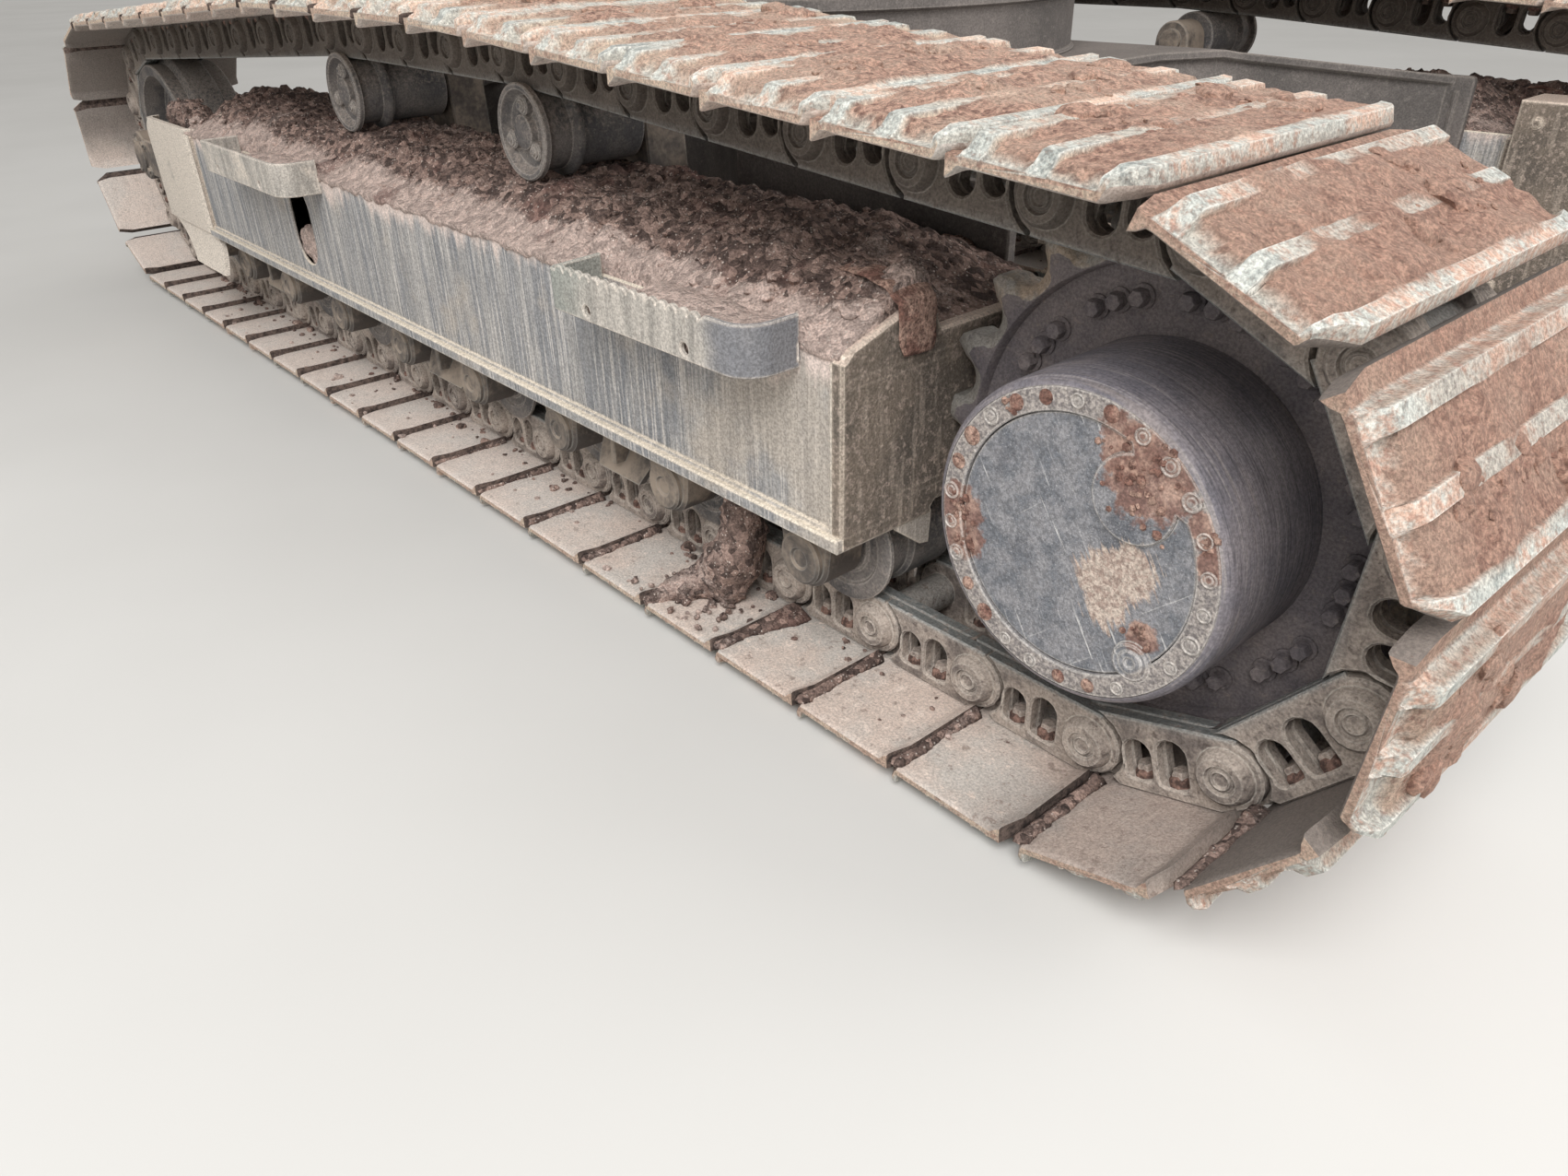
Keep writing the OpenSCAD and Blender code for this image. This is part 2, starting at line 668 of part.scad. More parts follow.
// Car body from above, one quarter for the front legs and one for the rear legs: [x, y].
// The walls stand a rim's width inside the plates.
frame_side = gauge / 2 - half_width;
side_notch = 700;
notch_x = 520;
notch_flat = 300;
shoulder_x = 110;
shoulder_y = 210;
taper_x = 160;
neck = 60;
function body_corner(outer, rim) = [
    [body_half_length - rim, body_edge],
    [min(body_half_length + shoulder_x, outer - neck) - rim, body_edge + shoulder_y],
    [outer - min(taper_x, (outer - body_half_length) / 3) - rim, frame_side - shoulder_x],
    [outer - rim, frame_side - rim], [outer - leg_foot + rim, frame_side - rim],
    [min(notch_x, outer - leg_foot - 20) + rim / 2, side_notch + neck - rim / 2],
    [notch_flat, side_notch - rim]
];
front_leg = frame_front - wheelbase / 2 - leg_front_back;
function reversed(v) = [for (i = [len(v) - 1:-1:0]) v[i]];
function body_outline(rim) = let (front = body_corner(front_leg, rim), rear = body_corner(leg_outer, rim))
    concat(front, reversed([for (q = rear) [-q[0], q[1]]]),
        [for (q = rear) -q], reversed([for (q = front) [q[0], -q[1]]]));
// The same outline with its corners bent round, in short straight steps
bend_steps = 4;
function bent(line, radius) = let (n = len(line)) [for (k = [0:n - 1])
    let (p = line[k], back = line[(k + n - 1) % n] - p, ahead = line[(k + 1) % n] - p,
        half = acos(max(-1, min(1, unit(back) * unit(ahead)))) / 2,
        reach = min(radius / tan(half), 0.45 * norm(back), 0.45 * norm(ahead)))
    for (t = [0:1 / bend_steps:1])
        (p + unit(back) * reach * (1 - t)) * (1 - t) + (p + unit(ahead) * reach * t) * t];
leg_slope = 345;
slope_start = frame_side - leg_slope;
cavity_radius = 560;
hatch = [520, 420];
function saddle(drop) = [[frame_side, leg_top - drop], [slope_start, body_top - drop],
    [-slope_start, body_top - drop], [-frame_side, leg_top - drop]];
// What lies between two heights that fall over the legs, cut to an outline
module body_layer(outline, upper, lower) intersection() {
    translate([0, 0, body_bottom - 1]) linear_extrude(body_top - body_bottom + 2) polygon(outline);
    translate([-leg_outer - 1, 0, 0]) rotate([90, 0, 90]) linear_extrude(2 * leg_outer + 2)
        polygon(concat(upper, reversed(lower)));
}
body_floor = [[frame_side, body_bottom], [-frame_side, body_bottom]];
floor_top = [[frame_side, body_bottom + 24], [-frame_side, body_bottom + 24]];
module leg_end(outer, plate_y) translate([outer - leg_foot, plate_y, body_bottom])
    cube([leg_foot, body_rim, leg_top + 6 - body_bottom]);
module car_body() color([0.42, 0.39, 0.36]) difference() {
    union() {
        body_layer(body_outline(0), saddle(0), saddle(body_plate));
        body_layer(bent(body_outline(body_rim), wall_bend), saddle(5), body_floor);
        body_layer(body_outline(0), floor_top, body_floor);
        for (side = [0, 1]) mirror([0, side, 0]) {
            leg_end(front_leg, frame_side - body_rim);
            mirror([1, 0, 0]) leg_end(leg_outer, frame_side - body_rim);
        }
    }
    translate([0, 0, body_bottom + floor_plate]) cylinder(r = cavity_radius, h = body_top);
}
module belly_cover() color([0.38, 0.37, 0.36])
    translate([-hatch[0] / 2, -hatch[1] / 2, body_bottom - 10 - seat])
        cube([hatch[0], hatch[1], 10]);

turret_wall = turret_radius - turret_flange;
module turret() color([0.43, 0.40, 0.37]) rotate_extrude($fn = 120) polygon([
    [turret_inner, body_top + seat], [turret_wall, body_top + seat], [turret_wall, turret_top - 48],
    [turret_radius, turret_top - 30], [turret_radius, turret_top], [turret_inner, turret_top]]);

// Internal gear: root and tip corners of each tooth
ring_points = [for (k = [0:ring_teeth - 1]) for (c = [[-0.35, 1], [-0.17, 0], [0.17, 0], [0.35, 1]])
    let (a = (k + c[0]) * 360 / ring_teeth, r = ring_tip_radius + c[1] * ring_tooth_depth)
    r * [cos(a), sin(a)]];
module slew_inner_race() color([0.36, 0.36, 0.36])
    translate([0, 0, turret_top]) linear_extrude(inner_race_height) difference() {
        circle(race_radius, $fn = 180);
        polygon(ring_points);
    }
module slew_outer_race() color([0.40, 0.40, 0.40])
    translate([0, 0, turret_top + race_lift]) difference() {
        cylinder(r = turret_radius, h = outer_race_height);
        translate([0, 0, -1]) cylinder(r = race_radius + play, h = outer_race_height + 2);
        for (k = [0:bolt_count - 1]) rotate(k * 360 / bolt_count)
            translate([bolt_circle / 2, 0, -1]) cylinder(d = bolt_hole, h = outer_race_height + 2);
    }

floor_z = body_bottom + floor_plate;
swivel_foot = 30;
module swivel_body() color([0.30, 0.30, 0.30]) translate([0, 0, floor_z]) difference() {
    union() {
        cylinder(r = swivel_radius + 45, h = swivel_foot);
        cylinder(r = swivel_radius, h = swivel_height);
    }
    translate([0, 0, swivel_foot]) cylinder(r = spindle_radius + play, h = swivel_height);
}
head_gap = 5;
head_bolts = 4;
head_circle = 130;
module swivel_spindle() color([0.36, 0.36, 0.36]) translate([0, 0, floor_z]) difference() {
    union() {
        translate([0, 0, swivel_foot + head_gap])
            cylinder(r = spindle_radius, h = swivel_height - swivel_foot);
        translate([0, 0, swivel_height + head_gap]) cylinder(r = swivel_radius - 8, h = head_height);
    }
    for (k = [0:head_bolts - 1]) rotate(45 + k * 90)
        translate([head_circle / 2, 0, swivel_height + head_gap + head_height - 24])
            cylinder(d = 13, h = 25);
}

left() track_shoes();  // left_track_shoes
right() track_shoes();  // right_track_shoes
left() track_chain();  // left_track_chain
right() track_chain();  // right_track_chain
left() track_frame();  // left_track_frame
right() track_frame();  // right_track_frame
left() idler_guard();  // left_idler_guard
right() idler_guard();  // right_idler_guard
left() steps();  // left_steps
right() steps();  // right_steps
left() chain_guides();  // left_chain_guides
right() chain_guides();  // right_chain_guides
left() idler();  // left_idler
right() idler();  // right_idler
left() idler_yoke();  // left_idler_yoke
right() idler_yoke();  // right_idler_yoke
left() carrier_rollers();  // left_carrier_rollers
right() carrier_rollers();  // right_carrier_rollers
left() carrier_brackets();  // left_carrier_brackets
right() carrier_brackets();  // right_carrier_brackets
left() track_rollers();  // left_track_rollers
right() track_rollers();  // right_track_rollers
left() roller_mounts();  // left_roller_mounts
right() roller_mounts();  // right_roller_mounts
left() sprocket();  // left_sprocket
right() sprocket();  // right_sprocket
left() final_drive();  // left_final_drive
right() final_drive();  // right_final_drive
left() drive_hub();  // left_drive_hub
right() drive_hub();  // right_drive_hub
left() travel_motor();  // left_travel_motor
right() travel_motor();  // right_travel_motor
left() motor_guard();  // left_motor_guard
right() motor_guard();  // right_motor_guard
car_body();
belly_cover();
turret();
slew_inner_race();
slew_outer_race();
swivel_body();
swivel_spindle();
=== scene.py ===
import json
import math
import random

import bmesh
import bpy
import numpy as np
from mathutils import Matrix, Vector


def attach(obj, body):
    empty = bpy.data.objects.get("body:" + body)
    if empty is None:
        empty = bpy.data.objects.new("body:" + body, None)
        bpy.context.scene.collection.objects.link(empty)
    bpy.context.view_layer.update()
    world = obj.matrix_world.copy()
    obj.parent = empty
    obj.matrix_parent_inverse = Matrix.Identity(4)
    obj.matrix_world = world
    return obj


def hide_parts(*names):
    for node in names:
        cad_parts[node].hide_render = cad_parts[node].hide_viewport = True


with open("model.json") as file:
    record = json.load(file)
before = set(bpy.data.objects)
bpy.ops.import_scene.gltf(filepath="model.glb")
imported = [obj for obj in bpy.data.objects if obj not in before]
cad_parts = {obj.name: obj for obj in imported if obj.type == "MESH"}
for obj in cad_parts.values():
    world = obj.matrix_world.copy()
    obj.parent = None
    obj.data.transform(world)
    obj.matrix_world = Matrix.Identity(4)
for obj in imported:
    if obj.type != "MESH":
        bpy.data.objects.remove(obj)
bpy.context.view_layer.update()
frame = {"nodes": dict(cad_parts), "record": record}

# Driving sizes of a track unit, in metres. x runs from the sprocket axle to the idler,
# y outwards from the middle of the track, z up from the ground.
MM = 0.001
GAUGE = 2.390
WHEELBASE = 4.066
PITCH = 0.216
TEETH = 21
SHOE_WIDTH = 0.600
PIN_HEIGHT = 0.061
PIN_LINE = 0.101
RAIL_HEIGHT = 0.055
RAIL_GAP = 0.124
RAIL_THICKNESS = 0.044
CHAIN_HALF = (RAIL_GAP + 2 * RAIL_THICKNESS) / 2
SPROCKET_PINS = PITCH / 2 / math.sin(2 * math.pi / TEETH)
IDLER_RADIUS = 0.290
SEAT = 0.0003
IDLER_PINS = math.hypot(IDLER_RADIUS + RAIL_HEIGHT + SEAT, PITCH / 2)
CARRIER_RADIUS = 0.075
CARRIER_PATH = CARRIER_RADIUS + RAIL_HEIGHT + 0.005
FRAME_HALF = 0.250
FRAME_BOTTOM = 0.326
FRAME_TOP = 0.630
FRAME_CROWN = 0.060
FRAME_REAR = 0.361
FRAME_FRONT = 3.218
# Inner face of the cheeks of the rollers' channel, from the middle of the track
CHANNEL = 0.131
CARRIERS = [(1.404, 0.795), (2.270, 0.801)]
AXLE_Z = PIN_LINE + SPROCKET_PINS
IDLER_Z = PIN_LINE + IDLER_PINS
SIDES = {"left": 1, "right": -1}
# Share of the full number of points and crumbs that each side's shoes and earth get
DETAIL = {"left": 1.0, "right": 0.7}


def srgb(red, green, blue):
    """A colour given as 0 to 255 on a screen, as linear light."""
    linear = [((c / 255 + 0.055) / 1.055) ** 2.4 if c > 10 else c / 255 / 12.92 for c in (red, green, blue)]
    return (*linear, 1.0)


class Paint:
    """One material, whose nodes are wired by short calls."""

    def __init__(self, name):
        self.material = bpy.data.materials.new(name)
        self.material.use_nodes = True
        self.tree = self.material.node_tree
        self.shader = self.tree.nodes["Principled BSDF"]
        self.place = self.node("ShaderNodeTexCoord", {}, "Object")
        self.color = None

    def node(self, kind, inputs, output, **settings):
        """Adds a node, feeds its inputs, given by name or number, and returns one of its outputs."""
        made = self.tree.nodes.new(kind)
        for key, value in settings.items():
            setattr(made, key, value)
        for key, value in inputs.items():
            self.feed(made.inputs[key], value)
        return made.outputs[output]

    def feed(self, socket, value):
        """Links a socket to another node's output, or sets it to a plain value."""
        if isinstance(value, bpy.types.NodeSocket):
            self.tree.links.new(value, socket)
        else:
            socket.default_value = value

    def stretched(self, x, y, z, place=None):
        """The place with scaled axes: a noise is drawn out along the axis with the smallest number."""
        return self.node("ShaderNodeMapping", {"Vector": place or self.place, "Scale": (x, y, z)}, "Vector")

    def tilted(self, degrees):
        """The place turned about the axis across the machine."""
        return self.node("ShaderNodeVectorRotate", {"Vector": self.place, "Angle": math.radians(degrees)},
                         "Vector", rotation_type="Y_AXIS")

    def axis(self, name):
        """One coordinate of the place."""
        return self.node("ShaderNodeSeparateXYZ", {0: self.place}, name)

    def noise(self, scale, detail=5.0, rough=0.6, place=None):
        """Noise from 0 to 1 with lumps of about 1 / scale metres."""
        inputs = {"Vector": place or self.place, "Scale": scale, "Detail": detail, "Roughness": rough}
        return self.node("ShaderNodeTexNoise", inputs, "Fac")

    def crumbs(self, scale):
        """Distance to the middle of each crumb and a tone from 0 to 1 of its own."""
        distance = self.node("ShaderNodeTexVoronoi", {"Vector": self.place, "Scale": scale}, "Distance")
        tint = distance.node.outputs["Color"]
        return distance, self.node("ShaderNodeSeparateColor", {0: tint}, 0)

    def band(self, value, low, high):
        """0 below low, 1 above high and smooth between; low may be the higher one."""
        inputs = {"Value": value, "From Min": min(low, high), "From Max": max(low, high),
                  "To Min": float(low > high), "To Max": float(low < high)}
        return self.node("ShaderNodeMapRange", inputs, "Result", interpolation_type="SMOOTHSTEP")

    def math(self, operation, first, second=0.0):
        """One value, or two taken together."""
        return self.node("ShaderNodeMath", {0: first, 1: second}, 0, operation=operation)

    def times(self, first, second):
        """The product of two values."""
        return self.math("MULTIPLY", first, second)

    def plus(self, first, second):
        """The sum of two values."""
        return self.math("ADD", first, second)

    def vector(self, operation, first, second=(0, 0, 0), output="Vector"):
        """One place, or two taken together."""
        return self.node("ShaderNodeVectorMath", {0: first, 1: second}, output, operation=operation)

    def blend(self, share, first, second):
        """The first colour, with the second one on a share of it."""
        return self.node("ShaderNodeMix", {0: share, 6: first, 7: second}, 2, data_type="RGBA")

    def coat(self, share, color, amount=1):
        """Lays a colour over what is there already, on a share of the surface and by an amount."""
        self.color = self.blend(share if amount == 1 else self.times(share, amount), self.color, color)

    def lit(self, color, value, amount):
        """The colour made brighter or darker as value leaves its middle of a half."""
        bright = self.plus(self.times(value, amount), 1 - amount / 2)
        return self.node("ShaderNodeHueSaturation", {"Color": color, "Value": bright}, "Color")

    def mark(self, name):
        """A mesh attribute: clay or worn."""
        return self.node("ShaderNodeAttribute", {}, "Fac", attribute_name=name)

    def normal(self):
        """The direction in which the surface looks."""
        return self.node("ShaderNodeNewGeometry", {}, "Normal")

    def upward(self):
        """1 on faces that look up, 0 on walls and below."""
        return self.node("ShaderNodeSeparateXYZ", {0: self.normal()}, "Z")

    def edges(self, radius=0.004):
        """1 along convex and concave edges, from the difference to a bevelled normal."""
        soft = self.node("ShaderNodeBevel", {"Radius": radius}, "Normal", samples=4)
        return self.band(self.vector("DOT_PRODUCT", soft, self.normal(), "Value"), 0.985, 0.90)

    def finish(self, rough, metal=0.0, height=None, depth=0.002, grain=0.0, size=230):
        """Wires the shader; grain is the strength of the fine speckle."""
        if grain:
            self.color = self.lit(self.color, self.band(self.noise(size, 4, 0.75), 0.36, 0.64), grain)
        self.feed(self.shader.inputs["Base Color"], self.color)
        self.feed(self.shader.inputs["Roughness"], rough)
        self.feed(self.shader.inputs["Metallic"], metal)
        if height is not None:
            bump = self.node("ShaderNodeBump", {"Strength": 1.0, "Distance": depth, "Height": height},
                             "Normal")
            self.feed(self.shader.inputs["Normal"], bump)
        return self.material


def hashed(cells, seed):
    """A number from 0 to 1 for each cell of a grid, the same for the same cell and seed."""
    x, y, z = (cells[:, k].astype(np.int64) for k in range(3))
    mixed = (x * 73856093) ^ (y * 19349663) ^ (z * 83492791) ^ (seed * 2654435761)
    mixed = ((mixed ^ (mixed >> 13)) * 1274126177) & 0xFFFFFFFF
    return ((mixed ^ (mixed >> 16)) & 0xFFFF) / 65535.0


def ripple(points, size, seed=0, octaves=3):
    """Fractal value noise from 0 to 1 at points, with lumps of about size."""
    points = np.atleast_2d(points) / size
    total = np.zeros(len(points))
    weight = 0.0
    for octave in range(octaves):
        scaled = points * 2.03 ** octave + 17.3 * octave
        low = np.floor(scaled)
        part = scaled - low
        part = part * part * (3 - 2 * part)
        value = np.zeros(len(points))
        for corner in range(8):
            step = np.array([corner & 1, corner >> 1 & 1, corner >> 2 & 1])
            share = np.prod(np.where(step, part, 1 - part), axis=1)
            value += share * hashed(low + step, seed + octave)
        total += value * 0.5 ** octave
        weight += 0.5 ** octave
    return total / weight


def smooth(values, low, high):
    """0 below low, 1 above high and smooth between."""
    part = np.clip((values - low) / (high - low), 0, 1)
    return part * part * (3 - 2 * part)


class Shape:
    """Points and faces that are gathered before they become one mesh."""

    def __init__(self):
        self.points = []
        self.faces = []
        self.paints = []
        self.clay = []
        self.worn = []
        self.count = 0

    def add(self, points, faces, clay=0.0, worn=0.0, paint=0):
        """Adds points and faces; clay and worn are one value or one for each point, paint is the material's
        number or one for each face."""
        points = np.asarray(points, float).reshape(-1, 3)
        for face in faces:
            self.faces.append([int(k) + self.count for k in face])
        self.paints.extend([paint] * len(faces) if np.isscalar(paint) else list(paint))
        self.points.append(points)
        self.clay.append(np.broadcast_to(clay, len(points)).astype(float))
        self.worn.append(np.broadcast_to(worn, len(points)).astype(float))
        self.count += len(points)

    def join(self, other, move=None):
        """Adds a copy of another shape, moved by a function of its points."""
        points = np.concatenate(other.points)
        self.add(points if move is None else move(points), other.faces,
                 np.concatenate(other.clay), np.concatenate(other.worn), other.paints)


def to_unit(side):
    """Puts a track unit's points on its side of the machine."""
    sign = SIDES[side]

    def move(points):
        return np.column_stack([points[:, 0] - WHEELBASE / 2, sign * (points[:, 1] + GAUGE / 2),
                                points[:, 2]])

    return move


def build(name, shape, materials, nodes=(), body="undercarriage", move=None, sharp=38):
    """Makes one piece of the scene; edges steeper than sharp, in degrees, are drawn as edges."""
    points = np.concatenate(shape.points)
    if move is not None:
        points = move(points)
    mesh = bpy.data.meshes.new(name)
    mesh.from_pydata(points.tolist(), [], shape.faces)
    for material in materials:
        mesh.materials.append(material)
    mesh.polygons.foreach_set("material_index", np.array(shape.paints, np.int32))
    for label, values in (("clay", shape.clay), ("worn", shape.worn)):
        layer = mesh.attributes.new(label, "FLOAT", "POINT")
        layer.data.foreach_set("value", np.concatenate(values).astype(np.float32))
    work = bmesh.new()
    work.from_mesh(mesh)
    bmesh.ops.recalc_face_normals(work, faces=work.faces)
    work.to_mesh(mesh)
    work.free()
    mesh.shade_smooth()
    mesh.set_sharp_from_angle(angle=math.radians(sharp))
    piece = bpy.data.objects.new(name, mesh)
    bpy.context.scene.collection.objects.link(piece)
    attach(piece, body)
    if nodes:
        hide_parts(*nodes)


def build_on(side, name, shape, materials, node=None, sharp=38):
    """Builds a piece of the track unit on one side, which replaces that side's node."""
    nodes = [f"{side}_{node}"] if node else []
    build(f"{side}_{name}", shape, materials, nodes, move=to_unit(side), sharp=sharp)


def loft(rings, caps=True):
    """Points and faces of rings of equal length that are joined one to the next."""
    rings = [np.asarray(ring, float) for ring in rings]
    length = len(rings[0])
    faces = []
    for k in range(len(rings) - 1):
        for j in range(length):
            after = (j + 1) % length
            faces.append((k * length + j, k * length + after, (k + 1) * length + after,
                          (k + 1) * length + j))
    if caps:
        faces.append(tuple(range(length)))
        faces.append(tuple((len(rings) - 1) * length + j for j in reversed(range(length))))
    return np.concatenate(rings), faces


def lathe(profile, x=0.0, z=0.0, steps=48):
    """Points and faces of a profile of (radius, y) turned round an axle that lies across the track."""
    turn = np.arange(steps) * 2 * math.pi / steps
    points = []
    rows = []
    for radius, y in profile:
        if radius == 0:
            rows.append([sum(len(p) for p in points)])
            points.append(np.array([[x, y, z]]))
        else:
            start = sum(len(p) for p in points)
            rows.append(list(range(start, start + steps)))
            points.append(np.column_stack([x + radius * np.cos(turn), np.full(steps, y),
                                           z + radius * np.sin(turn)]))
    faces = []
    for first, second in zip(rows, rows[1:]):
        for j in range(steps):
            after = (j + 1) % steps
            if len(first) == 1:
                faces.append((first[0], second[j], second[after]))
            elif len(second) == 1:
                faces.append((first[j], second[0], first[after]))
            else:
                faces.append((first[j], second[j], second[after], first[after]))
    return np.concatenate(points), faces


def spot(x, z, radius, degrees):
    """The point at an angle on a circle."""
    return x + radius * math.cos(math.radians(degrees)), z + radius * math.sin(math.radians(degrees))


def arc(x, z, radius, start, end, steps=8):
    """Points on an arc, angles in degrees."""
    return [spot(x, z, radius, a) for a in np.linspace(start, end, steps)]


def plate(outlines, low, high, bevel=0.002):
    """Points and faces of a bevelled plate drawn in x and z, from y = low to y = high.
    The outlines after the first are holes."""
    curve = bpy.data.curves.new("plate", "CURVE")
    curve.dimensions = "2D"
    curve.fill_mode = "BOTH"
    curve.extrude = (high - low) / 2 - bevel
    curve.bevel_depth = bevel
    curve.bevel_resolution = 0
    curve.offset = -bevel
    for outline in outlines:
        spline = curve.splines.new("POLY")
        spline.points.add(len(outline) - 1)
        for point, corner in zip(spline.points, outline):
            point.co = (corner[0], corner[1], 0, 1)
        spline.use_cyclic_u = True
    helper = bpy.data.objects.new("plate", curve)
    bpy.context.scene.collection.objects.link(helper)
    mesh = bpy.data.meshes.new_from_object(helper.evaluated_get(bpy.context.evaluated_depsgraph_get()))
    work = bmesh.new()
    work.from_mesh(mesh)
    bmesh.ops.remove_doubles(work, verts=work.verts, dist=0.00002)
    points = np.array([(v.co.x, (low + high) / 2 + v.co.z, v.co.y) for v in work.verts])
    faces = [[v.index for v in face.verts] for face in work.faces]
    work.free()
    bpy.data.objects.remove(helper)
    bpy.data.curves.remove(curve)
    bpy.data.meshes.remove(mesh)
    return points, faces


def around(shape_rings):
    """Points and faces of rings that close on themselves, the last joined to the first."""
    points, faces = loft(shape_rings, caps=False)
    length = len(shape_rings[0])
    start = (len(shape_rings) - 1) * length
    faces += [(start + j, start + (j + 1) % length, (j + 1) % length, j) for j in range(length)]
    return points, faces


def swapped(made, order):
    """A plate drawn in x and z and thick in y, turned so that its axes lie in another order."""
    points, faces = made
    return points[:, order], faces


def plate_across(outlines, low, high, bevel=0.002):
    """A plate drawn in y and z, thick along x."""
    return swapped(plate(outlines, low, high, bevel), [1, 0, 2])


def plate_flat(outlines, low, high, bevel=0.002):
    """A plate drawn in x and y, thick along z."""
    return swapped(plate(outlines, low, high, bevel), [0, 2, 1])


def slab(x0, x1, z0, z1, corner):
    """Outline of a rectangle with rounded corners."""
    line = []
    for k, (x, z) in enumerate(((x1, z1), (x0, z1), (x0, z0), (x1, z0))):
        middle = (x - corner if x == x1 else x + corner, z - corner if z == z1 else z + corner)
        line += arc(*middle, corner, 90 * k, 90 * k + 90, 3)
    return line


def block(low, high, bevel=0.003):
    """A box between two corners with all its edges bevelled."""
    return plate([slab(low[0], high[0], low[2], high[2], bevel)], low[1], high[1], bevel)


def bolts(places, radius, height, outwards=1, order=(0, 1, 2)):
    """Hexagon heads on washers at places (x, y, z), which point along y, or along z in the order 0, 2, 1."""
    one = Shape()
    one.add(*lathe([(radius * 1.35, 0), (radius * 1.35, 0.003), (radius * 1.25, 0.004), (0, 0.004)],
                   steps=16))
    one.add(*lathe([(radius, 0), (radius, height - 0.002), (radius * 0.86, height), (0, height)], steps=6))
    shape = Shape()
    for place in places:
        shape.join(one, lambda points: (points * [1, outwards, 1])[:, order] + place)
    return shape


def on_circle(x, y, z, radius, angles):
    """Places on a circle that lies in x and z, at angles in degrees."""
    return [(px, y, pz) for px, pz in (spot(x, z, radius, a) for a in angles)]


def circle(radius, count):
    """Points round the origin as an outline in two axes."""
    return [(radius * math.cos(t), radius * math.sin(t))
            for t in np.linspace(0, 2 * math.pi, count + 1)[:-1]]


def outside(made, sign):
    """The same points and faces, mirrored across the middle of the track where the sign is negative."""
    points, faces = made
    return points * [1, sign, 1], faces


def cut_lines(made, axis, places):
    """The same closed mesh with edges added where it crosses planes at places along an axis."""
    points, faces = made
    mesh = bpy.data.meshes.new("cut")
    mesh.from_pydata(points.tolist(), [], [list(f) for f in faces])
    work = bmesh.new()
    work.from_mesh(mesh)
    normal = Vector([float(k == axis) for k in range(3)])
    for place in places:
        everything = work.verts[:] + work.edges[:] + work.faces[:]
        bmesh.ops.bisect_plane(work, geom=everything, plane_co=normal * place, plane_no=normal)
    work.verts.index_update()
    points = np.array([tuple(v.co) for v in work.verts])
    faces = [[v.index for v in face.verts] for face in work.faces]
    work.free()
    bpy.data.meshes.remove(mesh)
    return points, faces


def filled(points, longest):
    """The same open line with points added, so that no stretch is longer than longest."""
    line = [points[0]]
    for first, second in zip(points, points[1:]):
        count = max(1, math.ceil(math.dist(first, second) / longest))
        line += [tuple(np.add(first, np.subtract(second, first) * k / count)) for k in range(1, count + 1)]
    return line


def belt():
    """The pins of the chain, evenly spaced round sprocket, carrier rollers and idler."""
    wheels = np.array([(0, AXLE_Z, SPROCKET_PINS), (*CARRIERS[0], CARRIER_PATH),
                       (*CARRIERS[1], CARRIER_PATH), (WHEELBASE, IDLER_Z, IDLER_PINS)])
    inset = SPROCKET_PINS - PITCH * TEETH / 4 / math.pi
    normals = []
    for k in range(4):
        gap = wheels[(k + 1) % 4] - wheels[k]
        normals.append(math.atan2(gap[1], gap[0]) + math.acos(-gap[2] / math.hypot(gap[0], gap[1])))
    starts = [normals[3], normals[0], normals[1], normals[2]]
    sweeps = [normals[3] - normals[0], normals[0] - normals[1], normals[1] - normals[2],
              normals[2] - normals[3] + 2 * math.pi]

    def rim(k, angle):
        """A point on the path round wheel k."""
        return wheels[k % 4][:2] + wheels[k % 4][2] * np.array([math.cos(angle), math.sin(angle)])

    arcs = [(wheels[k][2] - inset) * sweeps[k] for k in range(4)]
    spans = [np.linalg.norm(rim(k + 1, normals[k]) - rim(k, normals[k])) for k in range(4)]
    length = sum(arcs) + sum(spans)
    count = round(length / PITCH)
    pins = []
    for i in range(count):
        left = i * length / count
        k = 0
        while k < 3 and left > arcs[k] + spans[k]:
            left -= arcs[k] + spans[k]
            k += 1
        if left < arcs[k]:
            pins.append(rim(k, starts[k] - sweeps[k] * left / arcs[k]))
        else:
            ahead = np.array([math.sin(normals[k]), -math.cos(normals[k])])
            pins.append(rim(k, normals[k]) + (left - arcs[k]) * ahead)
    return np.array(pins)


PINS = belt()
LINKS = len(PINS)


def on_link(i):
    """Puts points (u, y, v), u along link i and v outwards from the loop, in the unit's x, y, z."""
    here = PINS[i]
    gap = PINS[(i + 1) % LINKS] - here
    along = gap / np.linalg.norm(gap)
    outward = np.array([-along[1], along[0]])
    scale = np.linalg.norm(gap) / PITCH

    def move(points):
        flat = here + points[:, :1] * scale * along + points[:, 2:] * outward
        return np.column_stack([flat[:, 0], points[:, 1], flat[:, 1]])

    return move


# Materials


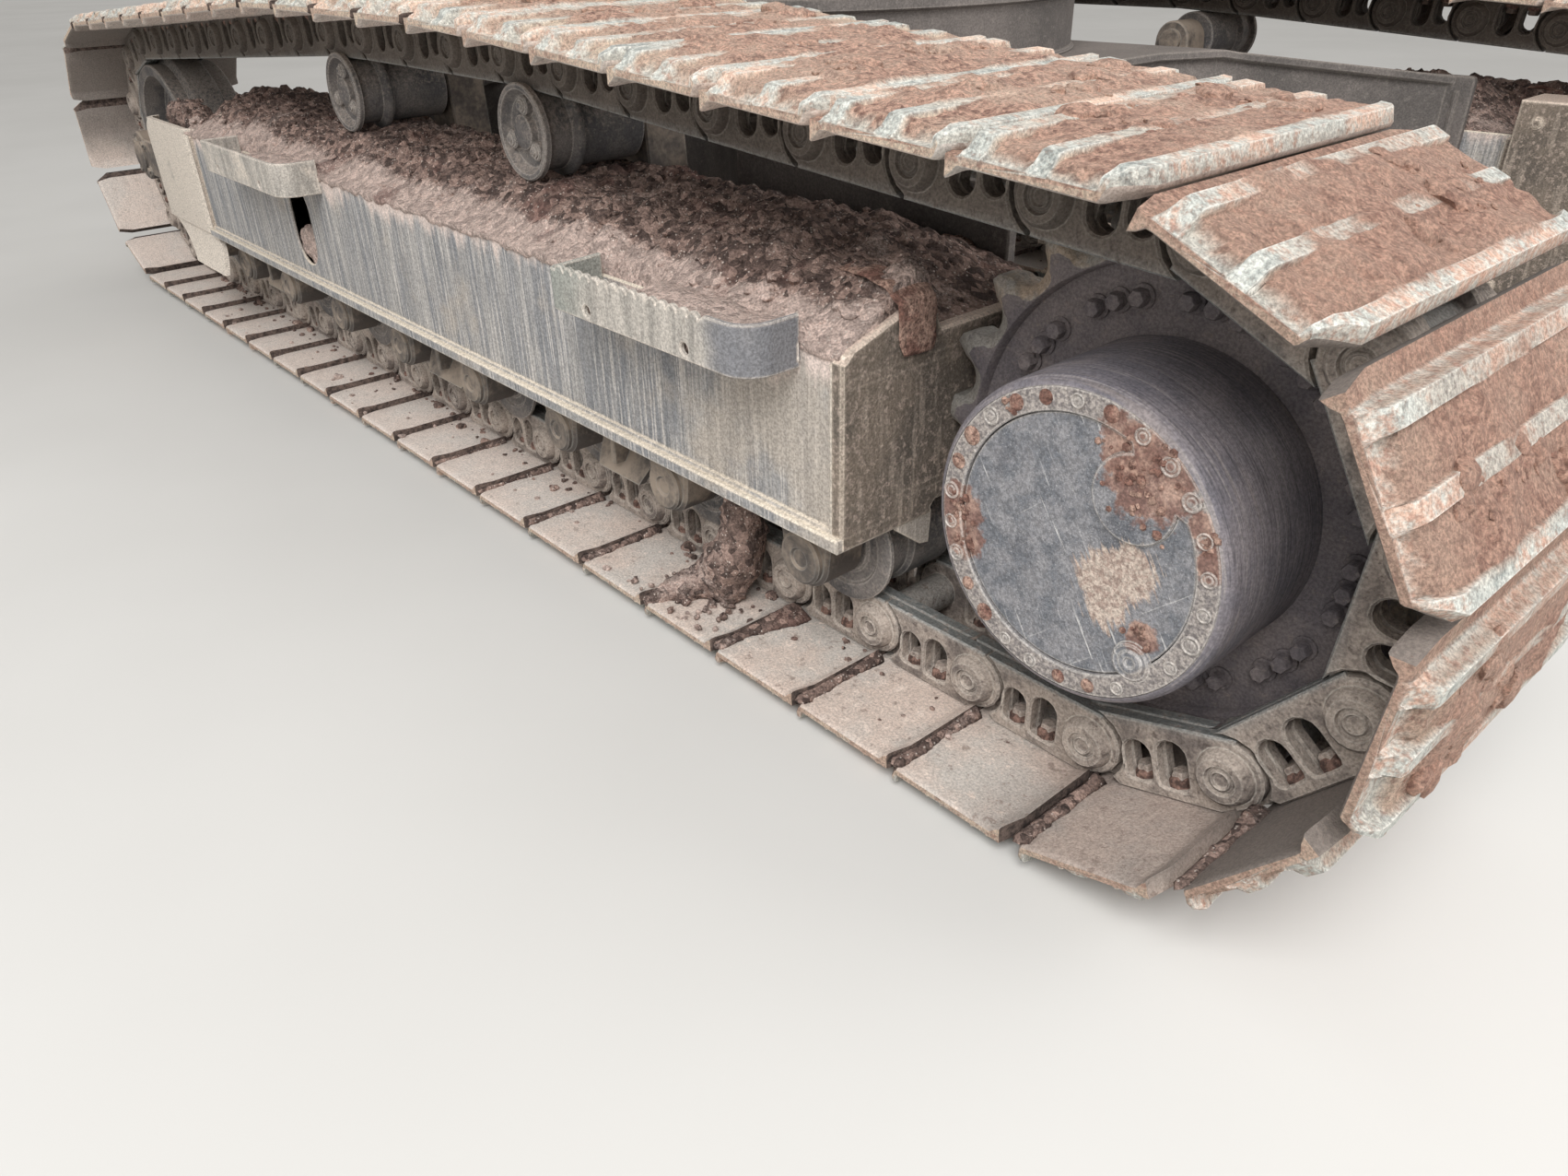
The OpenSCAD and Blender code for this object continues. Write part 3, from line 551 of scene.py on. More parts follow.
def shoe_outer_material():
    """Grey bare steel, a dry film of light clay and red-brown clay where it lies thick."""
    p = Paint("shoe_outer")
    clay = p.mark("clay")
    worn = p.mark("worn")
    broad = p.noise(7, 5, 0.65)
    fine = p.noise(75, 6, 0.75)
    grit = p.noise(420, 4, 0.75)
    crumb, tone = p.crumbs(130)
    bare = p.blend(p.band(fine, 0.36, 0.60), srgb(132, 138, 135), srgb(194, 195, 188))
    film = p.blend(p.band(broad, 0.42, 0.60), srgb(214, 186, 166), srgb(232, 212, 190))
    film = p.blend(p.band(fine, 0.50, 0.36), film, srgb(184, 152, 136))
    thick = p.blend(p.band(p.plus(fine, p.times(tone, 0.20)), 0.42, 0.70), srgb(132, 96, 84),
                    srgb(216, 176, 155))
    rubbed = p.times(worn, p.band(p.plus(broad, p.times(fine, 0.7)), 0.70, 0.92))
    p.color = p.blend(p.times(clay, p.band(p.plus(broad, fine), 0.80, 1.06)), film, thick)
    p.coat(p.band(p.axis("X"), -1.70, -2.35), srgb(166, 125, 108), 0.42)
    p.coat(rubbed, bare)
    p.coat(p.band(grit, 0.56, 0.66), srgb(122, 90, 78), 0.5)
    p.coat(p.times(p.edges(0.004), p.times(worn, 0.7)), srgb(220, 216, 208))
    crumbly = p.plus(p.times(fine, 0.7), p.plus(p.times(grit, 0.7), p.times(p.times(crumb, clay), -0.4)))
    height = p.times(crumbly, p.math("SUBTRACT", 1.0, p.times(worn, 0.85)))
    rough = p.math("SUBTRACT", 0.94, p.times(rubbed, 0.35))
    return p.finish(rough, p.times(rubbed, 0.25), height, 0.009, 0.6)


def slot_material():
    """Painted shade: dark colour on the ends of the lower shoes, in the slots between them, where shade
    falls.
    """
    p = Paint("slot_shade")
    fine = p.noise(70, 5, 0.7)
    p.color = p.blend(p.band(fine, 0.36, 0.64), srgb(58, 48, 44), srgb(112, 96, 88))
    return p.finish(0.95, 0.0, fine, 0.004, 0.5)


def shoe_inner_material():
    """Flat inner faces under grey-beige dust with dark specks, and painted shade round the sprocket and the
    idler.
    """
    p = Paint("shoe_inner")
    broad = p.noise(6, 5, 0.6)
    fine = p.noise(45, 6, 0.7)
    grit = p.noise(300, 4, 0.7)
    p.color = p.blend(p.band(broad, 0.38, 0.62), srgb(208, 190, 178), srgb(198, 190, 182))
    p.coat(p.band(fine, 0.54, 0.68), srgb(226, 210, 198))
    p.coat(p.band(fine, 0.43, 0.34), srgb(142, 124, 114), 0.7)
    p.coat(p.band(p.axis("X"), -1.3, -0.3), srgb(232, 220, 211), 0.45)
    # Painted shade: darker round the sprocket, and where the shoes climb round the idler and the sprocket
    p.coat(p.band(p.axis("X"), -1.90, -2.05), srgb(120, 104, 96), 0.45)
    front = p.times(p.band(p.axis("X"), 1.9, 2.1),
                    p.band(p.plus(p.axis("Z"), p.times(broad, 0.15)), 0.42, 0.62))
    rear = p.times(p.band(p.axis("X"), -2.08, -2.20),
                   p.band(p.plus(p.axis("Z"), p.times(broad, 0.1)), 0.12, 0.20))
    p.coat(p.math("MAXIMUM", front, rear), srgb(112, 104, 98), 0.85)
    p.coat(p.band(grit, 0.60, 0.68), srgb(104, 84, 76), 0.6)
    height = p.plus(p.times(fine, 0.6), p.times(grit, 0.5))
    return p.finish(0.9, 0.0, height, 0.004, 0.4)


def chain_material():
    """Forged links under dust, with painted shade on the upper run, bright rails and earth in their windows.
    """
    p = Paint("chain_links")
    worn = p.mark("worn")
    broad = p.noise(14, 5, 0.6)
    fine = p.noise(80, 6, 0.7)
    dusty = p.band(p.plus(p.times(p.upward(), 0.25), p.plus(broad, p.times(fine, 0.3))), 0.44, 0.80)
    p.color = p.blend(dusty, srgb(112, 103, 98), srgb(178, 165, 154))
    p.coat(p.band(fine, 0.46, 0.34), srgb(84, 70, 64), 0.6)
    # Painted shade: the upper run is darkened, and its pale edges are toned down below
    upper = p.band(p.plus(p.axis("Z"), p.times(broad, 0.2)), 0.78, 0.95)
    p.coat(upper, srgb(76, 69, 62), 0.85)
    p.coat(p.times(p.edges(0.004), p.math("SUBTRACT", 0.7, p.times(upper, 0.5))), srgb(200, 192, 182))
    shine = p.times(worn, p.band(fine, 0.30, 0.50))
    p.coat(shine, srgb(160, 162, 160))
    packed = p.blend(p.band(fine, 0.4, 0.6), srgb(76, 58, 52), srgb(142, 112, 100))
    p.coat(p.mark("clay"), packed)
    rough = p.math("SUBTRACT", 0.88, p.times(shine, 0.45))
    return p.finish(rough, p.times(shine, 0.6), fine, 0.004, 0.5)


def steel_material(name, dark, dust, dusty_from=0.50, dusty_to=0.85):
    """Dark steel or paint with dust on what faces up and pale worn edges."""
    p = Paint(name)
    broad = p.noise(10, 5, 0.6)
    fine = p.noise(80, 6, 0.7)
    dusty = p.band(p.plus(p.times(p.upward(), 0.3), p.plus(broad, p.times(fine, 0.3))), dusty_from, dusty_to)
    p.color = p.blend(dusty, dark, dust)
    p.coat(p.edges(0.004), srgb(158, 156, 150), 0.5)
    return p.finish(0.82, 0.0, fine, 0.0020)


def frame_material():
    """Grey paint under thin vertical streaks, with pinkish dust at the top and pale clay on the ledges."""
    p = Paint("frame_paint")
    height = p.axis("Z")
    along = p.axis("X")
    streak = p.noise(1.0, 4, 0.6, p.stretched(30, 30, 2.2))
    thin = p.noise(1.0, 4, 0.65, p.stretched(190, 190, 5))
    broad = p.noise(3.6, 5, 0.6)
    fine = p.noise(110, 5, 0.75)
    p.color = p.blend(p.band(streak, 0.34, 0.66), srgb(126, 127, 130), srgb(156, 153, 150))
    p.coat(p.band(thin, 0.50, 0.64), srgb(200, 194, 188), 0.75)
    p.coat(p.band(thin, 0.46, 0.34), srgb(94, 98, 102), 0.55)
    rear = p.band(along, -1.05, -1.60)
    tan = p.times(p.band(p.plus(broad, p.times(rear, 0.12)), 0.54, 0.70), 0.6)
    p.coat(tan, srgb(178, 166, 152))
    dust_line = p.plus(height, p.plus(p.times(p.math("SUBTRACT", broad, 0.5), 0.20),
                                      p.times(p.math("SUBTRACT", streak, 0.5), 0.14)))
    dusty = p.times(p.band(dust_line, 0.585, 0.635), p.band(fine, 0.26, 0.46))
    p.coat(dusty, srgb(210, 193, 184))
    lying = p.times(p.band(p.upward(), 0.35, 0.75), p.band(p.plus(broad, p.times(fine, 0.4)), 0.36, 0.58))
    p.coat(lying, srgb(210, 198, 180))
    p.coat(p.edges(0.006), srgb(208, 198, 184), 0.8)
    relief = p.plus(p.times(fine, 0.6), p.times(thin, 0.5))
    return p.finish(0.82, 0.0, relief, 0.0022, 0.55)


def end_plate_material():
    """The frame's end plates: brown-grey and speckled, with a pale edge."""
    p = Paint("end_paint")
    broad = p.noise(6, 5, 0.6)
    fine = p.noise(90, 6, 0.75)
    streak = p.noise(1.0, 4, 0.6, p.stretched(60, 60, 7))
    p.color = p.blend(p.band(broad, 0.36, 0.64), srgb(96, 88, 80), srgb(124, 112, 100))
    p.coat(p.band(fine, 0.50, 0.62), srgb(168, 152, 140), 0.8)
    p.coat(p.band(streak, 0.52, 0.66), srgb(180, 166, 152), 0.4)
    p.coat(p.band(p.upward(), 0.3, 0.7), srgb(204, 184, 170), 0.8)
    p.coat(p.edges(0.008), srgb(210, 196, 180), 0.85)
    return p.finish(0.88, 0.0, fine, 0.003, 0.6)


def guard_material(name, pale):
    """Steel under a dry film of mud, bare and bluish on the rear step's bend."""
    p = Paint(name)
    along = p.axis("X")
    streak = p.noise(1.0, 5, 0.65, p.stretched(60, 60, 6))
    broad = p.noise(6, 5, 0.6)
    fine = p.noise(100, 5, 0.75)
    p.color = p.blend(p.band(streak, 0.38, 0.62), srgb(156, 151, 144), srgb(188, 181, 172))
    p.coat(p.band(broad, 0.60 - pale, 0.72 - pale), srgb(212, 201, 188), 0.85)
    p.coat(p.band(fine, 0.56, 0.68), srgb(126, 116, 108), 0.5)
    bend = p.band(p.plus(along, p.times(broad, 0.12)), -1.40, -1.46)
    grey = p.times(p.band(p.plus(along, p.times(broad, 0.2)), -1.12, -1.02), p.band(along, -0.80, -0.90))
    p.coat(bend, srgb(116, 117, 122), 0.9)
    p.coat(grey, srgb(138, 144, 138), 0.7)
    p.coat(p.edges(0.005), srgb(222, 210, 197), 0.8)
    return p.finish(0.87, 0.0, fine, 0.003, 0.55)


def soil_material(name, shift=0.0, dusty=0.50):
    """Crumbly earth: pale and pinkish where it has dried, red-brown in its hollows, and paler towards the
    frame's outer edge as a painted highlight.
    """
    p = Paint(name)
    broad = p.noise(4.5, 5, 0.6)
    lumps = p.noise(30, 6, 0.7)
    grain = p.noise(170, 5, 0.75)
    crumb, tone = p.crumbs(75)
    bit, light = p.crumbs(190)
    mixed = p.plus(p.times(lumps, 0.55), p.plus(p.times(grain, 0.25), p.times(tone, 0.20)))
    p.color = p.blend(p.band(mixed, 0.38, 0.62), srgb(92, 75, 69), srgb(162, 137, 126))
    # Painted highlight: towards the frame's outer edge the pale coat spreads, by the share dusty, on top of
    # the dry patches
    outer = p.band(p.math("ABSOLUTE", p.axis("Y")), 1.350, 1.430)
    dry = p.plus(p.plus(broad, p.times(grain, 0.5)), p.times(outer, dusty))
    p.coat(p.band(dry, 0.80 + shift, 0.98 + shift), srgb(204, 183, 173), 0.8)
    p.coat(p.band(broad, 0.44, 0.34), srgb(120, 86, 78), 0.6)
    p.coat(p.times(p.band(light, 0.80, 0.90), p.band(bit, 0.40, 0.25)), srgb(216, 202, 192))
    p.color = p.lit(p.color, tone, 0.5)
    hollows = p.plus(p.times(crumb, -0.55), p.times(bit, -0.3))
    relief = p.plus(p.times(lumps, 0.5), p.plus(p.times(grain, 0.5), hollows))
    return p.finish(0.96, 0.0, relief, 0.012, 0.6)


def clay_plug_material():
    """Red-brown clay with a fine crust."""
    p = Paint("clay_plugs")
    broad = p.noise(26, 5, 0.6)
    fine = p.noise(120, 5, 0.75)
    crumb, tone = p.crumbs(120)
    p.color = p.blend(p.band(broad, 0.40, 0.60), srgb(136, 100, 88), srgb(186, 154, 138))
    p.coat(p.band(fine, 0.52, 0.40), srgb(98, 68, 60), 0.8)
    p.color = p.lit(p.color, tone, 0.4)
    return p.finish(0.95, 0.0, p.plus(fine, p.times(crumb, -0.5)), 0.007, 0.6)


def sprocket_material():
    """Dark cast steel with an even brown film, bright where the chain has rubbed."""
    p = Paint("sprocket_steel")
    worn = p.mark("worn")
    broad = p.noise(9, 5, 0.6)
    fine = p.noise(90, 6, 0.7)
    p.color = p.blend(p.band(broad, 0.38, 0.62), srgb(98, 92, 95), srgb(122, 113, 112))
    p.coat(p.band(fine, 0.56, 0.70), srgb(146, 132, 122), 0.4)
    rubbed = p.times(p.band(worn, 0.35, 0.85), p.band(fine, 0.26, 0.46))
    p.coat(rubbed, srgb(160, 156, 150))
    p.coat(p.times(rubbed, p.band(broad, 0.5, 0.62)), srgb(176, 158, 140))
    rough = p.math("SUBTRACT", 0.80, p.times(rubbed, 0.25))
    return p.finish(rough, p.times(rubbed, 0.4), fine, 0.003, 0.5)


def drum_side_material():
    """Near-black paint with fine scratches that run round the drum."""
    p = Paint("drum_side")
    broad = p.noise(7, 5, 0.6)
    lines = p.noise(1.0, 4, 0.7, p.stretched(7, 260, 7))
    long_lines = p.noise(1.0, 3, 0.6, p.stretched(4, 110, 4))
    fine = p.noise(120, 5, 0.7)
    p.color = p.blend(p.band(broad, 0.36, 0.64), srgb(104, 101, 108), srgb(132, 125, 128))
    p.coat(p.band(lines, 0.54, 0.66), srgb(164, 156, 152), 0.5)
    p.coat(p.band(lines, 0.46, 0.36), srgb(58, 56, 60), 0.5)
    p.coat(p.band(long_lines, 0.58, 0.68), srgb(150, 138, 130), 0.3)
    p.coat(p.edges(0.003), srgb(186, 180, 172), 0.7)
    return p.finish(0.72, 0.0, p.plus(p.times(lines, 0.6), p.times(fine, 0.4)), 0.0014, 0.5)


def drum_face_material():
    """Worn blue-grey steel with slanting scratches, a caked rim and a smear of tan mud below the middle."""
    p = Paint("drum_face")
    broad = p.noise(9, 5, 0.65)
    middle = p.noise(30, 5, 0.65)
    fine = p.noise(150, 5, 0.75)
    grit = p.noise(420, 3, 0.8)
    scratch = p.noise(1.0, 3, 0.65, p.stretched(210, 20, 7, p.tilted(-32)))
    cross = p.noise(1.0, 3, 0.6, p.stretched(240, 20, 6, p.tilted(48)))
    p.color = p.blend(p.band(middle, 0.34, 0.64), srgb(104, 107, 113), srgb(138, 137, 140))
    p.coat(p.band(broad, 0.46, 0.36), srgb(84, 87, 94), 0.6)
    p.coat(p.band(grit, 0.56, 0.64), srgb(198, 196, 194), 0.5)
    marks = p.times(p.band(scratch, 0.60, 0.70), p.band(broad, 0.44, 0.60))
    p.coat(marks, srgb(208, 206, 204), 0.9)
    p.coat(p.band(cross, 0.66, 0.74), srgb(196, 194, 192), 0.5)
    away = p.vector("SUBTRACT", p.place, (-WHEELBASE / 2, 0, AXLE_Z))
    flat = p.vector("MULTIPLY", away, (1, 0, 1))

    def reach(x, z, wide):
        """Distance from a point on the face, in parts of a width."""
        off = p.vector("SUBTRACT", flat, (x, 0, z))
        return p.times(p.vector("LENGTH", off, output="Value"), 1 / wide)

    ragged = p.times(p.math("SUBTRACT", middle, 0.5), 1.8)
    rim = p.band(reach(0, 0, 1), 0.168, 0.176)
    caked = p.blend(p.band(fine, 0.42, 0.58), srgb(122, 114, 111), srgb(178, 168, 160))
    clay = p.blend(p.band(middle, 0.42, 0.62), srgb(124, 92, 82), srgb(178, 146, 130))
    p.coat(rim, caked, 0.8)
    for x, z, wide in ((0.175, -0.006, 0.034), (0.164, -0.052, 0.030), (-0.175, 0.088, 0.026),
                       (-0.184, 0.045, 0.020), (-0.092, 0.130, 0.060), (-0.060, 0.150, 0.040),
                       (-0.114, -0.078, 0.024)):
        near = p.band(p.plus(reach(x, z, wide), ragged), 1.05, 0.85)
        p.coat(near, clay, 0.9)
    hatch = p.times(p.math("SUBTRACT", scratch, 0.5), 1.9)
    spot = p.math("MINIMUM", reach(-0.088, -0.004, 0.036), reach(-0.046, -0.022, 0.034))
    spot = p.math("MINIMUM", spot, reach(-0.062, -0.058, 0.030))
    smear = p.band(p.plus(spot, p.plus(hatch, p.times(p.math("SUBTRACT", middle, 0.5), 1.2))), 1.15, 0.90)
    tan = p.blend(p.band(fine, 0.4, 0.6), srgb(160, 138, 126), srgb(204, 188, 174))
    p.coat(smear, tan, 0.9)
    p.coat(p.edges(0.004), srgb(204, 198, 191), 0.85)
    return p.finish(0.66, 0.1, p.plus(p.times(fine, 0.7), p.times(scratch, 0.4)), 0.003, 0.6, 260)


def roller_material():
    """Grey rollers with dust on their rims."""
    p = Paint("roller_steel")
    broad = p.noise(12, 5, 0.6)
    fine = p.noise(110, 5, 0.7)
    p.color = p.blend(p.band(broad, 0.38, 0.62), srgb(92, 90, 90), srgb(124, 118, 114))
    p.coat(p.band(p.plus(fine, p.times(p.upward(), 0.2)), 0.50, 0.70), srgb(170, 158, 148), 0.6)
    p.coat(p.edges(0.006), srgb(190, 182, 174), 0.8)
    return p.finish(0.84, 0.0, fine, 0.003, 0.5)


def body_material():
    """Grey-brown paint of the car body under a thin even dust."""
    p = Paint("body_paint")
    broad = p.noise(4, 5, 0.6)
    speckle = p.noise(60, 6, 0.75)
    fine = p.noise(150, 5, 0.7)
    p.color = p.blend(p.band(broad, 0.36, 0.64), srgb(92, 87, 84), srgb(114, 107, 103))
    p.coat(p.band(speckle, 0.52, 0.66), srgb(140, 132, 126), 0.4)
    p.coat(p.band(p.upward(), 0.3, 0.8), srgb(122, 112, 104), 0.4)
    p.coat(p.edges(0.006), srgb(152, 144, 136), 0.5)
    return p.finish(0.88, 0.0, fine, 0.002, 0.45)


def race_material():
    """Machined steel with a skin of rust and grease."""
    p = Paint("race_steel")
    broad = p.noise(7, 5, 0.6)
    fine = p.noise(120, 5, 0.7)
    ground = p.noise(1.0, 3, 0.6, p.stretched(4, 4, 300))
    p.color = p.blend(p.band(broad, 0.40, 0.62), srgb(112, 108, 104), srgb(138, 132, 126))
    p.coat(p.band(ground, 0.5, 0.66), srgb(160, 156, 150), 0.4)
    p.coat(p.band(p.plus(broad, p.times(fine, 0.4)), 0.74, 0.86), srgb(122, 88, 70), 0.6)
    return p.finish(0.55, 0.6, fine, 0.001)


# The last link of the top run
TOP_LINKS = 29
# Shoe in one link, in millimetres: u from pin to pin, v above the inner face.
# A raised lip at the start overhangs the drooping beak of the shoe behind it.
SHOE_OUTER = [(-16, 20), (-11, 37), (9, 38), (17, 17), (24, 12), (79, 12), (84, 36), (106, 36), (112, 12),
              (165, 12), (170, 37), (192, 38), (198, 22), (206, 8), (218, 0), (228, -9)]
SHOE_INNER = [(226, -15), (214, -9), (204, -1), (194, 0), (12, 0), (2, 3), (-6, 9), (-14, 14)]
# How high clay stands on each shoe, 1 being flush with its bars, and how red it is: both most where the
# track rises behind the sprocket
CLAY_LOAD = [0.88 + 0.24 * math.exp(-((i - 7) / 3.5) ** 2) + 0.08 * math.exp(-((i - 13) / 5.0) ** 2)
             for i in range(LINKS)]
CLAY_RED = [0.22 + 0.52 * math.exp(-((i - 5) / 4.0) ** 2) for i in range(LINKS)]


def clay_level(i, side, u, y):
    """Height of the clay on a shoe's plate, the share of it that may lie there and how full the shoe is."""
    number = LINKS * (1 if side == "left" else 3) + i
    where = np.column_stack([i * PITCH + u, y, np.full(len(u), number * 0.37)])
    broad = ripple(where, 0.130, 3, 2)
    patch = ripple(where, 0.050, 4, 2)
    lumps = ripple(where, 0.020, 5, 3)
    fill = CLAY_LOAD[i] + 0.65 * (broad - 0.5) + 0.55 * (patch - 0.5)
    # The clay breaks off in a steep ragged edge before it reaches the shoe's ends and is thinner there
    stop = (8 + 110 * np.clip(1.45 - CLAY_LOAD[i] - 0.75 * broad, 0, 1) + 40 * (patch - 0.4)) * MM
    margin = SHOE_WIDTH / 2 - np.abs(y)
    fill = fill * (0.62 + 0.38 * smooth(margin, 50 * MM, 150 * MM))
    part = np.clip((margin - np.maximum(stop, 5 * MM)) / (9 * MM), 0, 1)
    kept = part * part * (3 - 2 * part) * smooth(u, -6 * MM, 10 * MM) * (1 - smooth(u, 190 * MM, 204 * MM))
    level = 25 * MM * np.clip(fill, 0, 1.45) + 12 * MM * (lumps - 0.5) * np.clip(fill + 0.3, 0, 1.3)
    if i > TOP_LINKS or PINS[i][1] < AXLE_Z - 0.15:
        level = np.minimum(level, 20 * MM)
    return 12 * MM + level * kept, kept, fill


def shoe_rings(i, side, y_stations, outline, outer_count):
    """One shoe of the track as rings across it, with clay lying between its bars."""
    move = on_link(i)
    u = np.array([q[0] for q in outline]) * MM
    v = np.array([q[1] for q in outline]) * MM
    outer = np.arange(len(outline)) < outer_count
    bar = np.clip((v - 12 * MM) / (25 * MM), 0, 1) * outer
    crest = smooth(v, 29 * MM, 35 * MM) * outer
    rings, clays, worns = [], [], []
    for y in y_stations:
        margin = SHOE_WIDTH / 2 - abs(y)
        # The corners are cut: both ends of the outline are squeezed together towards the shoe's sides
        cut = max(0.0, 28 * MM - margin * 28 / 43)
        at_u = np.where(u < 24 * MM, 24 * MM - (24 * MM - u) * (1 - cut / (40 * MM)), u)
        at_u = np.where(u > 190 * MM, 190 * MM + (u - 190 * MM) * (1 - 0.4 * cut / (38 * MM)), at_u)
        fade = 1 - smooth(margin, 3 * MM, 24 * MM)
        lip = np.where(u < 20 * MM, 0.35, 1.0)
        at_v = v - bar * fade * lip * np.clip(v - 13 * MM, 0, 1)
        at_v = at_v - np.where(outer, 1, -1) * max(0, 4 * MM - margin) * 0.8
        level, kept, fill = clay_level(i, side, u, np.full(len(u), y))
        high = np.maximum(at_v, np.where(outer, level, -1)) - at_v
        rings.append(move(np.column_stack([at_u, np.full(len(u), y), PIN_HEIGHT + at_v + high])))
        covered = smooth(high, 0.5 * MM, 3 * MM)
        near_end = 1 - smooth(margin, 40 * MM, 110 * MM)
        clays.append(covered * smooth(fill + CLAY_RED[i], 1.0, 1.5))
        worns.append(np.clip(crest * (0.7 + 0.3 * near_end) + outer * (1 - kept) * 0.85, 0,
                             1) * (1 - covered))
    return rings, np.concatenate(clays), np.concatenate(worns)


def track_shoes(side, materials):
    """All shoes of a track; those under the machine have fewer points."""
    half = SHOE_WIDTH / 2
    ends = [half - m * MM for m in (0, 3, 10, 20, 31, 43)]
    shape = Shape()
    for i in range(LINKS):
        shown = i <= TOP_LINKS + 4
        outer = filled(SHOE_OUTER, 11.5 / DETAIL[side] if shown else 20)
        outline = outer + filled(SHOE_INNER, 70)
        inboard = np.linspace(-half + 0.055, 0.090, round(18 * DETAIL[side]) if shown else 12)
        outboard = np.linspace(0.090, half - 0.055, round(19 * DETAIL[side]) if shown else 8)[1:]
        stations = sorted([*inboard, *outboard, *(s * e for s in (-1, 1) for e in ends)])
        rings, clay, worn = shoe_rings(i, side, stations, outline, len(outer))
        points, faces = loft(rings)
        # Each strip's material: plate outside, slot at both ends, plate inside; on the lower shoes the slot
        # ends carry painted shade
        size = len(outline)
        strips = []
        for k in range(size):
            u, v = np.add(outline[k], outline[(k + 1) % size]) / 2
            slot = i >= 12 and (u > 206 and k < len(outer) or u < 8 and k >= len(outer))
            strips.append(2 if slot else int(k >= len(outer) - 1))
        paints = [strips[k % size] for k in range(len(faces) - 2)] + [0, 0]
        shape.add(points, faces, clay, worn, paints)
    build_on(side, "shoes", shape, materials, "track_shoes", 50)


def link_outline(outboard):
    """Outline of one layer of a link, round its own pin and cut back round the next one, in u and v."""
    start = [(24, -55), (234, -55)]
    nose = arc(216, 0, 52, -70, 75, 8)
    foot = [(204, 60), (46, 60)]
    relief = arc(0, 0, 60, 55, -55, 7)
    outline = [(u * MM, v * MM) for u, v in start + nose + foot + relief]
    return outline if outboard else [(PITCH - u, v) for u, v in reversed(outline)]


def rounded(u, v, width, height, top):
    """A window with a round arch on the rail side, all in millimetres."""
    half = width / 2
    corners = arc(u, v - height / 2 + half, half, 180, 360, 8)
    corners += arc(u + half - top, v + height / 2 - top, top, 0, 90, 3)
    corners += arc(u - half + top, v + height / 2 - top, top, 90, 180, 3)
    return [(a * MM, b * MM) for a, b in corners]


def link_shape():
    """One link of the chain in its own frame: u, y, v."""
    shape = Shape()
    windows = [rounded(82, 10, 42, 62, 8), rounded(136, 6, 46, 74, 8)]
    inner, outer = RAIL_GAP / 2, RAIL_GAP / 2 + RAIL_THICKNESS
    middle = (inner + outer) / 2
    for sign in (-1, 1):
        for outboard, low, high in ((True, middle, outer), (False, inner, middle)):
            points, faces = outside(plate([link_outline(outboard), *windows], low, high, 0.003), sign)
            shape.add(points, faces, 0, smooth(-points[:, 2], 0.050, 0.0545))
        # The link's boss stands out from it, the pin's end and its ring out of the boss
        rings = [(0, 0.011), (0.010, 0.012), (0.013, 0.016), (0.016, 0.012), (0.020, 0.011), (0.022, 0.017),
                 (0.032, 0.017), (0.038, 0.012), (0.041, 0.002), (0.043, -0.004)]
        boss = lathe([(radius, outer + high) for radius, high in rings], PITCH, 0, 18 if sign > 0 else 12)
        shape.add(*outside(boss, sign))
        # The shoe's nuts stand in the windows, with earth packed round them
        for u in (82 * MM, 136 * MM):
            nut = lathe([(0, 0.022), (0.012, 0.022), (0.0145, 0.025), (0.0145, 0.044), (0, 0.044)], steps=6)
            shape.add(np.column_stack([u + nut[0][:, 0], sign * middle + nut[0][:, 2], nut[0][:, 1]]),
                      nut[1], 0.25)
            earth = lathe([(0, 0.027), (0.010, 0.029), (0.018, 0.037), (0.019, 0.050)], steps=9)
            points = np.column_stack([u + earth[0][:, 0], sign * middle + earth[0][:, 2] * 1.05,
                                      earth[0][:, 1]])
            points[:, 2] += 0.016 * (ripple(points, 0.011, 61, 2) - 0.5)
            shape.add(points, earth[1], 1.0)
    shape.add(*lathe([(0.032, -inner), (0.032, inner)], 0, 0, 16), 0, 0.5)
    return shape


def chain(side, material):
    """The chain: one link, laid at every pin."""
    one = link_shape()
    shape = Shape()
    for i in range(LINKS):
        shape.join(one, on_link(i))
    build_on(side, "chain", shape, [material], "track_chain")


# Radius of the seats between the teeth
BUSHING_SEAT = 0.035


def sprocket_edge(steps):
    """Outline of the teeth as (angle, radius): a seat arc for each bushing between worn pointed tips."""
    pitch_angle = 2 * math.pi / TEETH
    tip = SPROCKET_PINS + 0.016
    edge = []
    for k in range(TEETH):
        middle = 1.5 * math.pi + k * pitch_angle
        for b in np.radians(np.linspace(-82, 82, steps)):
            x = SPROCKET_PINS - BUSHING_SEAT * math.cos(b)
            y = BUSHING_SEAT * math.sin(b)
            edge.append((middle + math.atan2(y, x), math.hypot(x, y)))
        for share in (-0.07, 0.05):
            edge.append((middle + (0.5 + share) * pitch_angle, tip - 0.003 * (share > 0)))
    return np.array(edge)


